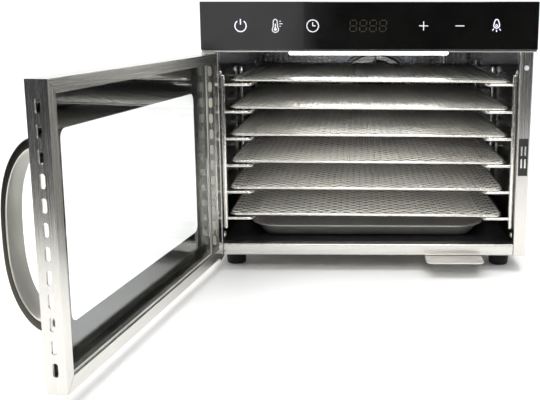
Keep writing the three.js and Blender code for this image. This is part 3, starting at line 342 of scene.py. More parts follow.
def clear_glass(name):
    """Clear sheet glass, a trace of green in it and a breath of haze."""
    material, nodes, links, shader = new_material(name)
    haze = noise(nodes, links, object_vector(nodes, links, (30, 30, 30)), 3.0)
    links.new(shaded(nodes, links, haze, (0.95, 0.985, 0.975), (0.985, 1, 0.99)), shader.inputs["Base Color"])
    links.new(ranged(nodes, links, haze, 0.0, 0.012), shader.inputs["Roughness"])
    shader.inputs["IOR"].default_value = 1.5
    shader.inputs["Transmission Weight"].default_value = 1.0
    return material


def glowing(name, colour, strength, spot=900.0):
    """An opal surface lit from behind by a row of small lamps, a little uneven; on the foam tape and the
    unlit digit segments the glow is painted light, not a lamp.
    """
    material, nodes, links, shader = new_material(name)
    spots = noise(nodes, links, object_vector(nodes, links, (spot, spot, spot)), 1.0)
    colour = np.array(colour)
    links.new(shaded(nodes, links, spots, colour * 0.9, colour), shader.inputs["Base Color"])
    shader.inputs["Roughness"].default_value = 0.35
    shader.inputs["Emission Color"].default_value = (*colour, 1)
    shader.inputs["Emission Strength"].default_value = strength
    return material


def circuit(name):
    """Green solder mask with paler tracks."""
    material, nodes, links, shader = new_material(name)
    tracks = nodes.new("ShaderNodeTexBrick")
    tracks.inputs["Scale"].default_value = 1.0
    tracks.inputs["Mortar Size"].default_value = 0.05
    tracks.inputs["Color1"].default_value = (0.015, 0.11, 0.045, 1)
    tracks.inputs["Color2"].default_value = (0.012, 0.09, 0.036, 1)
    tracks.inputs["Mortar"].default_value = (0.05, 0.22, 0.09, 1)
    links.new(object_vector(nodes, links, (260, 260, 260)), tracks.inputs["Vector"])
    links.new(tracks.outputs["Color"], shader.inputs["Base Color"])
    shader.inputs["Roughness"].default_value = 0.42
    bumped(nodes, links, shader, tracks.outputs["Fac"], 0.05 * MM)
    return material


def sheath(name, colour):
    """Oxidised heater tube: straw and grey stains on a dull metal."""
    material, nodes, links, shader = new_material(name)
    stain = noise(nodes, links, object_vector(nodes, links, (90, 90, 90)), 5.0, 0.65)
    colour = np.array(colour)
    straw = colour * (1.25, 1.1, 0.9)
    links.new(shaded(nodes, links, stain, colour * 0.55, straw), shader.inputs["Base Color"])
    links.new(ranged(nodes, links, stain, 0.3, 0.6), shader.inputs["Roughness"])
    shader.inputs["Metallic"].default_value = 0.9
    bumped(nodes, links, shader, stain, 0.04 * MM)
    return material


MADE = {}


def finish_named(key):
    """The material for a finish, made once."""
    if key not in MADE:
        MADE[key] = FINISHES[key]()
    return MADE[key]


FINISHES = {
    "steel_x": lambda: brushed("steel_brushed_across", colours().steel, "X"),
    "steel_y": lambda: brushed("steel_brushed_back", colours().steel, "Y"),
    "steel_z": lambda: brushed("steel_brushed_up", colours().steel, "Z"),
    "steel_door": lambda: brushed("steel_brushed_along_door", colours().steel, "X", DOOR_OPEN),
    "satin": lambda: satin("satin_steel", np.array(colours().steel[:]) * 1.1),
    "steel_bright": lambda: polished("steel_bright_edge", (0.86, 0.84, 0.79), 0.16),
    "liner": lambda: polished("liner_dark_steel", colours().liner, 0.16, 12.0),
    "baffle": lambda: brushed("baffle_steel", (0.33, 0.34, 0.37), "Z", roughness=0.24),
    "wire": lambda: polished("bright_wire", colours().wire, 0.2, 400.0),
    "mesh": lambda: polished("woven_wire", (0.93, 0.91, 0.85), 0.42, 500.0),
    "zinc": lambda: polished("zinc_screw", (0.62, 0.62, 0.60), 0.28, 900.0),
    "dark_zinc": lambda: polished("blackened_screw", (0.16, 0.16, 0.165), 0.34, 900.0),
    "handle": lambda: satin("handle_satin", (0.74, 0.73, 0.66)),
    # painted shade: a near-black copy of the handle's steel for its narrow sides
    "handle_edge_painted_shade": lambda: brushed("handle_edge_painted_shade", (0.075, 0.068, 0.06), "Z", roughness=0.3),
    "aluminium": lambda: brushed("fan_aluminium", (0.30, 0.31, 0.33), "X", roughness=0.32),
    "motor": lambda: polished("motor_zinc", (0.45, 0.45, 0.44), 0.38, 200.0),
    "sheath": lambda: sheath("heater_sheath", (0.36, 0.33, 0.30)),
    "enamel": lambda: moulded("floor_enamel", (0.012, 0.012, 0.014), 0.3, 900.0),
    "plastic": lambda: moulded("black_plastic", (0.017, 0.017, 0.018), 0.48),
    "socket": lambda: moulded("inlet_plastic", (0.012, 0.012, 0.013), 0.42),
    "rubber": lambda: moulded("foot_rubber", (0.014, 0.014, 0.015), 0.72, 1800.0, 0.05 * MM, 0.35),
    "seal": lambda: moulded("silicone_bead", (0.72, 0.71, 0.66), 0.45, 1500.0, 0.04 * MM, 0.4),
    # painted light: the foam tape glows though it is no lamp, standing in for light that comes through the
    # slots
    "foam": lambda: glowing("white_foam_tape_painted_glow", (0.93, 0.93, 0.91), 0.5, 1300.0),
    "nylon": lambda: moulded("white_nylon", (0.84, 0.85, 0.86), 0.4),
    "cream": lambda: moulded("cream_insert", (0.80, 0.77, 0.66), 0.5),
    "panel": lambda: glossy_black("panel_glass", (0.0035, 0.0035, 0.003), 0.1),
    "print": lambda: glossy_black("window_print", (0.008, 0.008, 0.009), 0.12),
    "glass": lambda: clear_glass("door_glass_clear"),
    "lamp": lambda: glowing("lamp_opal", (0.97, 0.98, 1.0), 9.0),
    "symbol": lambda: glowing("symbol_white", colours().symbols[:], 0.35),
    "symbol_lit": lambda: glowing("symbol_lit", (0.78, 0.78, 0.95), 0.75),
    # painted light: the unlit segments glow faintly though no lamp lights them
    "segment": lambda: glowing("segment_unlit_painted_glow", (0.03, 0.027, 0.014), 0.1),
    "board": lambda: circuit("circuit_board"),
}


# ---------------------------------------------------------------- meshes
def grid_faces(rows, columns, close_rows=False, close_columns=False):
    """Four-sided faces of a grid of points stored row by row."""
    r = np.arange(rows if close_rows else rows - 1)
    c = np.arange(columns if close_columns else columns - 1)
    r, c = np.meshgrid(r, c, indexing="ij")
    r2, c2 = (r + 1) % rows, (c + 1) % columns
    faces = np.stack((r * columns + c, r * columns + c2, r2 * columns + c2, r2 * columns + c), axis=-1)
    return faces.reshape(-1, 4)


class Shape:
    """Points and faces that grow piece by piece; each part keeps the number of its finish."""

    def __init__(self):
        self.points, self.faces, self.finish, self.count = [], [], [], 0

    def add(self, points, faces, finish=0):
        """Adds points, and faces that count from the first of them."""
        points = np.asarray(points, float).reshape(-1, 3)
        for face in faces:
            self.faces.append([int(k) + self.count for k in face])
            self.finish.append(finish)
        self.points.append(points)
        self.count += len(points)
        return self

    def add_grid(self, points, finish=0, close_rows=False, close_columns=False, caps=False):
        """Adds a rows by columns by 3 grid, and with caps a face over its first and last row."""
        rows, columns = points.shape[:2]
        faces = grid_faces(rows, columns, close_rows, close_columns).tolist()
        if caps:
            first = list(range(columns))
            faces += [first[::-1], [k + (rows - 1) * columns for k in first]]
        return self.add(points, faces, finish)

    def build(self, name, body, finishes, smooth=True, bevel=0.0, merge=1e-6, solidify=0.0, slot=None):
        """The finished object: doubles merged, faces turned outwards, finishes on, riding on its body."""
        mesh = bpy.data.meshes.new(name)
        mesh.from_pydata(np.concatenate(self.points), [], self.faces)
        for finish in finishes:
            mesh.materials.append(finish_named(finish))
        mesh.polygons.foreach_set("material_index", self.finish)
        work = bmesh.new()
        work.from_mesh(mesh)
        bmesh.ops.remove_doubles(work, verts=work.verts, dist=merge)
        bmesh.ops.recalc_face_normals(work, faces=work.faces)
        work.to_mesh(mesh)
        work.free()
        mesh.polygons.foreach_set("use_smooth", np.full(len(mesh.polygons), smooth))
        if smooth:
            mesh.set_sharp_from_angle(angle=radians(38))
        piece = bpy.data.objects.new(name, mesh)
        bpy.context.scene.collection.objects.link(piece)
        if solidify:
            wall = piece.modifiers.new("wall", "SOLIDIFY")
            wall.thickness = solidify
            wall.offset = 1.0
        if bevel:
            edge = piece.modifiers.new("edge", "BEVEL")
            edge.width = bevel
            edge.segments = 3
            edge.limit_method = "ANGLE"
            edge.angle_limit = radians(35)
            edge.harden_normals = False
        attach(piece, body)
        return piece


def box_points(low, high):
    """The eight corners of a box, as a 2 by 4 by 3 grid round its Z axis."""
    (x0, y0, z0), (x1, y1, z1) = low, high
    ring = [(x0, y0), (x1, y0), (x1, y1), (x0, y1)]
    return np.array([[(x, y, z) for x, y in ring] for z in (z0, z1)], float)


def arc(start, end, steps, radius=1.0, centre=(0.0, 0.0)):
    """Points of a circular arc: centre plus radius times (cos, sin)."""
    angle = np.linspace(start, end, steps)
    return np.stack((centre[0] + radius * np.cos(angle), centre[1] + radius * np.sin(angle)), axis=1)


def rounded_rectangle(width, height, radius, steps=8):
    """A rectangle centred on the origin whose corners are quarter circles, anticlockwise."""
    x, y = width / 2 - radius, height / 2 - radius
    turns = [(x, -y, -pi / 2), (x, y, 0), (-x, y, pi / 2), (-x, -y, pi)]
    return np.concatenate([arc(a, a + pi / 2, steps, radius, (cx, cy)) for cx, cy, a in turns])


def filleted(path, radius, steps=6):
    """An open line with rounded corners: each corner becomes a quadratic curve between its neighbours."""
    path = np.asarray(path, float)
    out = [path[:1]]
    share = np.linspace(0, 1, steps)[:, None]
    for before, corner, after in zip(path, path[1:], path[2:]):
        start = corner + (before - corner) * radius / np.linalg.norm(before - corner)
        end = corner + (after - corner) * radius / np.linalg.norm(after - corner)
        out.append((1 - share) ** 2 * start + 2 * share * (1 - share) * corner + share**2 * end)
    out.append(path[-1:])
    return np.concatenate(out)


def tube(path, radius, sides=10, up=UP, closed=False):
    """A round wire: each point of the path plus radius times (cos a across, sin a upwards)."""
    path = np.asarray(path, float)
    if closed:
        along = np.roll(path, -1, 0) - np.roll(path, 1, 0)
    else:
        along = np.gradient(path, axis=0)
    along /= np.linalg.norm(along, axis=1, keepdims=True)
    across = np.cross(up, along)
    across /= np.linalg.norm(across, axis=1, keepdims=True)
    upward = np.cross(along, across)
    angle = np.linspace(0, 2 * pi, sides, endpoint=False)[None, :, None]
    return path[:, None] + radius * (np.cos(angle) * across[:, None] + np.sin(angle) * upward[:, None])


def turned(profile, centre, axis, sides=32):
    """A lathe shape: a profile of (radius, height) carried round an axis through a centre."""
    profile = np.asarray(profile, float)
    axis = np.asarray(axis, float)
    helper = RIGHT if abs(axis[0]) < 0.9 else BACK
    across = np.cross(axis, helper)
    across /= np.linalg.norm(across)
    other = np.cross(axis, across)
    angle = np.linspace(0, 2 * pi, sides, endpoint=False)
    circle = np.cos(angle)[:, None] * across + np.sin(angle)[:, None] * other
    return np.asarray(centre) + profile[:, None, :1] * circle[None] + profile[:, None, 1:] * axis


def dome(radius, low, high, bulge):
    """A lathe profile: a cylinder from low to high with a rounded end of a given bulge."""
    share = np.linspace(0, pi / 2, 6)
    end = np.stack((radius * np.cos(share), high - bulge + bulge * np.sin(share)), axis=1)
    return np.concatenate(([(0, low), (radius, low)], end))


def ribbon(points, width, closed=False):
    """Left and right edges of a flat line: each point plus half the width along the line's normal."""
    points = np.asarray(points, float)
    if closed:
        along = np.roll(points, -1, 0) - np.roll(points, 1, 0)
    else:
        along = np.gradient(points, axis=0)
    along /= np.linalg.norm(along, axis=1, keepdims=True)
    normal = np.stack((-along[:, 1], along[:, 0]), axis=1) * width / 2
    return points + normal, points - normal


def fold(shape, line, thick, place, finish=0):
    """Folded sheet: a 2-D centre line with a thickness, carried between the two ends that place returns."""
    left, right = ribbon(line, thick)
    ring = np.concatenate((left, right[::-1]))
    grid = np.stack([place(ring, end) for end in (0, 1)])
    rows, columns = grid.shape[:2]
    faces = grid_faces(rows, columns, close_columns=True).tolist()
    half = len(line)
    for row in range(2):
        for k in range(half - 1):
            quad = [k, k + 1, columns - 2 - k, columns - 1 - k]
            faces.append([row * columns + q for q in quad])
    return shape.add(grid, faces, finish)


def plate(shape, outline, place, finish=0):
    """A flat plate: a 2-D outline carried between the two faces that place returns."""
    grid = np.stack([place(np.asarray(outline, float), end) for end in (0, 1)])
    return shape.add_grid(grid, finish, close_columns=True, caps=True)


def frame_ring(shape, outer, inner, place, finish=0):
    """A flat ring between two outlines with the same number of points, with a thickness."""
    loops = np.stack([place(outer, 0), place(outer, 1), place(inner, 1), place(inner, 0)])
    return shape.add_grid(loops, finish, close_rows=True, close_columns=True)


def level(z0, z1):
    """Places a 2-D outline of X and Y between two heights."""
    return lambda points, end: np.column_stack((points, np.full(len(points), (z0, z1)[end])))


def screw_heads(shape, centres, normal, radius, height, finishes=(0, 1)):
    """Pan heads with a cross recess: a low dome turned about the normal, and two dark bars on its crown."""
    normal = np.asarray(normal, float)
    side = np.cross(normal, UP if abs(normal[2]) < 0.9 else RIGHT)
    side /= np.linalg.norm(side)
    other = np.cross(normal, side)
    head = dome(radius, 0, height, height * 0.75)
    length, width, top = radius * 0.55, radius * 0.11, height * 1.03
    bar = box_points((-length, -width, height * 0.5), (length, width, top)).reshape(-1, 3)
    for centre in np.asarray(centres, float):
        shape.add_grid(turned(head, centre, normal, 16), finishes[0], close_columns=True)
        for one, two in ((side, other), (other, side)):
            points = centre + bar[:, :1] * one + bar[:, 1:2] * two + bar[:, 2:] * normal
            shape.add_grid(points.reshape(2, 4, 3), finishes[1], close_columns=True, caps=True)
    return shape


# ---------------------------------------------------------------- operators
class DEHYDRATOR_OT_finishes(bpy.types.Operator):
    """Give every CAD node the finish of what it is"""

    bl_idname = "dehydrator.finishes"
    bl_label = "Finishes"

    NODE_FINISHES = {
        "steel_x": ["base_plate", "top_cover", "rear_cover", "front_rail", "front_header", "rear_liner",
                    "hinge_bracket_upper", "hinge_bracket_lower"],
        "satin": ["door_rest_tab", "drip_tray"],
        "steel_y": ["side_panel_left", "side_panel_right"],
        "steel_z": ["front_post_left", "front_post_right", "door_hinge_stile", "door_free_stile"],
        "steel_door": ["door_top_rail", "door_bottom_rail"],
        "handle": ["door_handle"],
        "liner": ["liner_left", "liner_right", "liner_roof"],
        "baffle": ["rear_baffle"],
        "enamel": ["liner_floor"],
        "wire": ["rack_left", "rack_right", "fan_guard", "temperature_probe", "fan_shaft", *TRAYS],
        "zinc": ["hinge_pin_upper", "hinge_pin_lower"],
        "dark_zinc": ["handle_screw_lower", "handle_screw_upper"],
        "plastic": ["head_housing", "magnet_catch", "display_module", "thermal_cutout"],
        "socket": ["power_inlet"],
        "rubber": ["foot_front_left", "foot_front_right", "foot_rear_left", "foot_rear_right"],
        "seal": ["door_gasket"],
        "panel": ["control_glass"],
        "glass": ["door_glass"],
        "sheath": ["heater_element"],
        "motor": ["fan_motor"],
        "aluminium": ["fan_blade"],
        "board": ["control_board", "power_board"],
        "lamp": ["lamp_lens", "lamp_board"],
        "nylon": ["door_bumper"],
    }

    def execute(self, context):
        for finish, names in self.NODE_FINISHES.items():
            for name in names:
                mesh = frame["nodes"][name].data
                mesh.materials.clear()
                mesh.materials.append(finish_named(finish))
        missed = set(frame["nodes"]) - {name for names in self.NODE_FINISHES.values() for name in names}
        if missed:
            raise RuntimeError(f"no finish for {sorted(missed)}")
        return {"FINISHED"}


class DEHYDRATOR_OT_front_frame(bpy.types.Operator):
    """Fold the two posts and the rail from sheet, with rounded bends, and round the header's edges"""

    bl_idname = "dehydrator.front_frame"
    bl_label = "Front frame"

    SHEET = 1.2 * MM
    BEND = 1.1 * MM
    EDGE = 0.5 * MM

    def execute(self, context):
        for side in ("left", "right"):
            self.post(f"front_post_{side}")
        self.rail()
        header = Shape().add_grid(box_points(*corners("front_header")), close_columns=True, caps=True)
        piece = header.build("header_strip", "cabinet", ["steel_x"], False, self.EDGE, slot="brushed_steel")
        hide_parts("front_header")
        return {"FINISHED"}

    def post(self, node):
        """A channel open to the back: outer wall, front face and inner wall."""
        (x0, y0, z0), (x1, y1, z1) = corners(node)
        inset = self.SHEET / 2
        line = [(x1 - inset, y1), (x1 - inset, y0 + inset), (x0 + inset, y0 + inset), (x0 + inset, y1)]
        shape = fold(Shape(), filleted(line, self.BEND), self.SHEET, level(z0, z1))
        piece = shape.build(f"{node}_channel", "cabinet", ["steel_z"], slot="brushed_steel")
        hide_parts(node)

    def rail(self):
        """A channel open to the back along X."""
        (x0, y0, z0), (x1, y1, z1) = corners("front_rail")
        inset = self.SHEET / 2
        line = [(y1, z0 + inset), (y0 + inset, z0 + inset), (y0 + inset, z1 - inset), (y1, z1 - inset)]

        def place(points, end):
            return np.column_stack((np.full(len(points), (x0, x1)[end]), points))

        shape = fold(Shape(), filleted(line, self.BEND), self.SHEET, place)
        piece = shape.build("front_rail_channel", "cabinet", ["steel_x"], slot="brushed_steel")
        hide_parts("front_rail")


class DEHYDRATOR_OT_covers(bpy.types.Operator):
    """Round the edges of the outer covers and add their screws and louvre hoods"""

    bl_idname = "dehydrator.covers"
    bl_label = "Outer covers"

    FINISH = {"top_cover": "steel_x", "side_panel_left": "steel_y", "side_panel_right": "steel_y"}
    EDGE = 0.45 * MM
    HOOD_REACH = 1.5 * MM
    HOOD_HEIGHT = 6.5 * MM
    HOOD_MARGIN = 1.5 * MM
    HOOD_SHEET = 0.5 * MM
    LOUVRES = (0.11, 0.06)  # metres that the louvre slots reach either way from the fan, across and up
    SCREW = 3.4 * MM
    SCREW_HEIGHT = 1.6 * MM
    SCREW_INSET = 9 * MM

    def execute(self, context):
        for node, finish in self.FINISH.items():
            shape = Shape().add_grid(box_points(*corners(node)), close_columns=True, caps=True)
            piece = shape.build(f"{node}_sheet", "cabinet", [finish], False, self.EDGE, slot="brushed_steel")
            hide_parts(node)
        self.hoods()
        self.screws()
        return {"FINISHED"}

    def hoods(self):
        """A pressed hood over each louvre slot, open below: reach times a round-ended arch across it."""
        face = corners("rear_cover")[1][1]
        points = node_points("rear_cover")
        wide, tall = self.LOUVRES
        near = (abs(points[:, 0] - CENTRE_X) < wide) & (abs(points[:, 2] - FAN[2]) < tall)
        inside = points[near]
        tops = np.unique(np.round(inside[:, 2], 5))[1::2]
        along = np.linspace(-1, 1, 17)[:, None]
        rise = np.linspace(0, 1, 7)[None, :]
        left = np.unique(np.round(inside[:, 0], 5))
        shape = Shape()
        for x0, x1 in ((left[0], left[1]), (left[2], left[3])):
            half = (x1 - x0) / 2 + self.HOOD_MARGIN
            for top in tops:
                bulge = (1 - along**6) * np.cos(rise * pi / 2) ** 0.6
                x = (x0 + x1) / 2 + along * half + 0 * rise
                z = top - self.HOOD_HEIGHT * 0.55 + self.HOOD_HEIGHT * rise + 0 * along
                y = face + 0.05 * MM + self.HOOD_REACH * bulge
                shape.add_grid(np.stack((x, y, z), axis=-1))
        shape.build("louvre_hoods", "cabinet", ["steel_x"], solidify=self.HOOD_SHEET, slot="brushed_steel")

    def screws(self):
        """Eight screws round the rear cover: every place of a three by three pattern but its middle."""
        low, high = corners("rear_cover")
        x = [low[0] + self.SCREW_INSET, CENTRE_X, high[0] - self.SCREW_INSET]
        z = [low[2] + self.SCREW_INSET, middle("rear_cover")[2], high[2] - self.SCREW_INSET]
        rear = [(a, high[1], b) for a in x for b in z if not (a == x[1] and b == z[1])]
        shape = screw_heads(Shape(), rear, BACK, self.SCREW, self.SCREW_HEIGHT)
        shape.build("cover_screws", "cabinet", ["zinc", "dark_zinc"])


class DEHYDRATOR_OT_feet(bpy.types.Operator):
    """Turn the four rubber feet, with a rounded tread and a recess underneath"""

    bl_idname = "dehydrator.feet"
    bl_label = "Feet"

    TREAD_INSET = 1.5 * MM
    TREAD_ROUND = 1.2 * MM
    SHOULDER = 1.0 * MM
    RECESS = 3 * MM

    def execute(self, context):
        for node in ("foot_front_left", "foot_front_right", "foot_rear_left", "foot_rear_right"):
            (x0, y0, z0), (x1, y1, z1) = corners(node)
            radius, height = (x1 - x0) / 2, z1 - z0
            tread = radius - self.TREAD_INSET
            r = self.TREAD_ROUND
            round_edge = arc(-pi / 2, 0, 5, r, (tread - r, r))
            s = self.SHOULDER
            shoulder = arc(0, pi / 2, 5, s, (radius - s, height - s))
            recess = [(0, self.RECESS), (tread * 0.42, self.RECESS), (tread * 0.5, 0)]
            profile = np.concatenate((recess, round_edge, [(radius, height * 0.8)], shoulder, [(0, height)]))
            centre = ((x0 + x1) / 2, (y0 + y1) / 2, z0)
            shape = Shape().add_grid(turned(profile, centre, UP, 48), close_columns=True)
            piece = shape.build(f"{node}_rubber", "cabinet", ["rubber"], slot="foot_rubber")
            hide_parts(node)
        return {"FINISHED"}


class DEHYDRATOR_OT_control_panel(bpy.types.Operator):
    """Make the black glass panel with its touch symbols and the unlit digits, which have a faint painted glow
    """

    bl_idname = "dehydrator.control_panel"
    bl_label = "Control panel"

    PLACES = {"power": -130, "thermometer": -93, "clock": -57, "plus": 55, "minus": 91.5, "lamp": 128.5}  # mm
    DIGITS = 4
    DIGIT_PITCH = 10.0  # mm
    DIGIT = (6.6, 11.2)  # mm, width and height
    SLANT = 0.06
    RAISED, SUNK = 0.06 * MM, 0.2 * MM
    EDGE = 0.6 * MM
    LIT = ("power", "lamp")

    def execute(self, context):
        pane = Shape().add_grid(box_points(*corners("control_glass")), close_columns=True, caps=True)
        piece = pane.build("control_pane", "cabinet", ["panel"], False, self.EDGE, slot="black_glass")
        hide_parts("control_glass")
        for name, x in self.PLACES.items():
            shape = Shape()
            for points, width, closed in getattr(self, name)():
                self.stroke(shape, np.asarray(points, float), width, closed, x)
            finish = "symbol_lit" if name in self.LIT else "symbol"
            shape.build(f"symbol_{name}", "cabinet", [finish], False)
        self.digits()
        return {"FINISHED"}

    def stroke(self, shape, points, width, closed, x):
        """A line of a symbol as a thin raised ribbon, in mm from the symbol's middle."""
        scale = sizes().symbol_height / (13 * MM)
        left, right = ribbon(points * scale, width * sizes().symbol_line / MM / 1.25, closed)
        face = corners("control_glass")[0][1]
        height = middle("control_glass")[2]

        def place(flat, y):
            across, up = CENTRE_X + (flat[:, 0] + x) * MM, height + flat[:, 1] * MM
            return np.column_stack((across, np.full(len(flat), y), up))

        near, far = face - self.RAISED, face + self.SUNK
        loops = np.stack([place(left, near), place(right, near), place(right, far), place(left, far)], axis=1)
        shape.add_grid(loops, 0, close_rows=closed, close_columns=True, caps=not closed)

    def power(self):
        """An open circle and a bar through its gap. Each symbol yields line, width and whether it closes."""
        yield arc(radians(125), radians(415), 40, 5.7), 1.25, False
        yield [(0, 1.2), (0, 6.9)], 1.35, False

    def thermometer(self):
        """A half circle over a larger bulb, joined by straight sides, with a scale of three bars."""
        top = arc(0, pi, 10, 1.9, (-1.8, 4.6))
        bulb = arc(radians(140), radians(400), 22, 3.1, (-1.8, -3.4))
        yield np.concatenate((top, bulb)), 1.1, True
        yield [(-1.8, -3.4), (-1.8, 2.2)], 1.3, False
        yield arc(0, 2 * pi, 14, 0.9, (-1.8, -3.4))[:-1], 1.5, True
        for z, length in ((4.6, 1.6), (2.1, 3.2), (-0.4, 1.6)):
            yield [(2.2, z), (2.2 + length, z)], 1.0, False

    def clock(self):
        """A circle and two hands at a right angle."""
        yield arc(0, 2 * pi, 48, 5.9)[:-1], 1.2, True
        yield filleted([(0, 3.7), (0, 0), (2.9, 0)], 0.2), 1.15, False

    def plus(self):
        """Two crossed bars."""
        yield [(-4.5, 0), (4.5, 0)], 1.05, False
        yield [(0, -4.5), (0, 4.5)], 1.05, False

    def minus(self):
        """One bar."""
        yield [(-4.5, 0), (4.5, 0)], 1.05, False

    def lamp(self):
        """A bulb: a teardrop, radius growing from its tip, over three short rays."""
        angle = np.linspace(0, 2 * pi, 40, endpoint=False)
        swell = 3.0 + 2.6 * np.maximum(np.cos(angle), 0) ** 6
        yield np.stack((swell * np.sin(angle), swell * np.cos(angle) + 0.8), axis=1), 1.1, True
        yield arc(0, 2 * pi, 14, 1.0, (0, 0.4))[:-1], 0.8, True
        for turn in (-38, 0, 38):
            way = np.array((np.sin(radians(turn)), -np.cos(radians(turn))))
            yield [way * 4.6 + (0, 0.8), way * 6.8 + (0, 0.8)], 1.1, False

    def digits(self):
        """Seven bars for each digit, leaning a little, with a faint painted glow that makes them hardly
        brighter than the glass.
        """
        shape = Shape()
        wide, tall = self.DIGIT
        left = middle("display_module")[0] / MM - CENTRE_X / MM - self.DIGIT_PITCH * (self.DIGITS - 1) / 2
        for k in range(self.DIGITS):
            x = left + k * self.DIGIT_PITCH
            for z in (-tall / 2, 0, tall / 2):
                line = np.array([(-wide / 2 + 1, z), (wide / 2 - 1, z)])
                self.stroke(shape, line + (self.SLANT * z, 0), 1.3, False, x)
            for side in (-wide / 2, wide / 2):
                for z in (-tall / 4, tall / 4):
                    line = np.array([(side, z - tall / 4 + 0.9), (side, z + tall / 4 - 0.9)])
                    self.stroke(shape, line + self.SLANT * line[:, 1:] * (1, 0), 1.3, False, x)
        shape.build("display_digits", "cabinet", ["segment"], False)


class DEHYDRATOR_OT_lamp(bpy.types.Operator):
    """Make the cavity lamp's opal lens with round corners"""

    bl_idname = "dehydrator.lamp"
    bl_label = "Cavity lamp"

    EDGE = 1.2 * MM

    def execute(self, context):
        low, high = corners("lamp_lens")
        shape = Shape().add_grid(box_points(low, high), close_columns=True, caps=True)
        piece = shape.build("lamp_lens_opal", "cabinet", ["lamp"], True, self.EDGE, slot="white_plastic")
        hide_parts("lamp_lens", "lamp_board")
        return {"FINISHED"}


class DEHYDRATOR_OT_racks(bpy.types.Operator):
    """Bend the two wire racks, and set the screws that hold them to the liners"""

    bl_idname = "dehydrator.racks"
    bl_label = "Racks"

    UPRIGHT = 2.5 * MM
    RAIL = 1.75 * MM
    BEND = 6 * MM
    TRAY_GAP = 0.3 * MM
    SCREW_HEIGHTS = (214, 153, 101, 37)  # mm, three beside the rack and one near the floor
    SCREW_DEPTH = 15.5 * MM
    SCREW = (3.6 * MM, 2.1 * MM)

    def execute(self, context):
        for node, side in (("rack_left", -1), ("rack_right", 1)):
            self.rack(node, side)
            self.screws(node, side)
        return {"FINISHED"}

    def rack(self, node, side):
        """Three uprights with domed ends, and a rail for each tray: in, back along the cavity and out."""
        (x0, y0, z0), (x1, y1, z1) = corners(node)
        outer = x1 - self.UPRIGHT if side > 0 else x0 + self.UPRIGHT
        inner = x0 + self.RAIL if side > 0 else x1 - self.RAIL
        front, back = y0 + self.UPRIGHT, y1 - self.UPRIGHT
        shape = Shape()
        straight = (z1 - z0) / 2 - self.UPRIGHT
        ends = arc(-pi / 2, pi / 2, 12, self.UPRIGHT)
        ends[:, 1] += np.sign(ends[:, 1]) * straight
        for y in (front, (front + back) / 2, back):
            shape.add_grid(turned(ends, (outer, y, (z0 + z1) / 2), UP, 16), close_columns=True)
        for tray in TRAYS:
            z = corners(tray)[0][2] - self.TRAY_GAP - self.RAIL
            path = [(outer, front), (inner, front), (inner, back), (outer, back)]
            path = filleted(path, self.BEND, 8)
            line = np.column_stack((path, np.full(len(path), z)))
            shape.add_grid(tube(line, self.RAIL, 12), close_columns=True, caps=True)
            cross = np.array([(outer, (front + back) / 2, z), (inner, (front + back) / 2, z)])
            shape.add_grid(tube(cross, self.RAIL, 12), close_columns=True, caps=True)
        piece = shape.build(f"{node}_wire", "cabinet", ["wire"], slot="bright_wire")
        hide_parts(node)

    def screws(self, node, side):
        """Pan heads on the liner behind the front upright, and one near the floor."""
        liner = corners("liner_left" if side < 0 else "liner_right")
        face = liner[1][0] if side < 0 else liner[0][0]
        spots = [(face, FRONT + self.SCREW_DEPTH, z * MM) for z in self.SCREW_HEIGHTS]
        shape = screw_heads(Shape(), spots, -RIGHT * side, *self.SCREW)
        shape.build(f"{node}_screws", "cabinet", ["wire", "dark_zinc"])


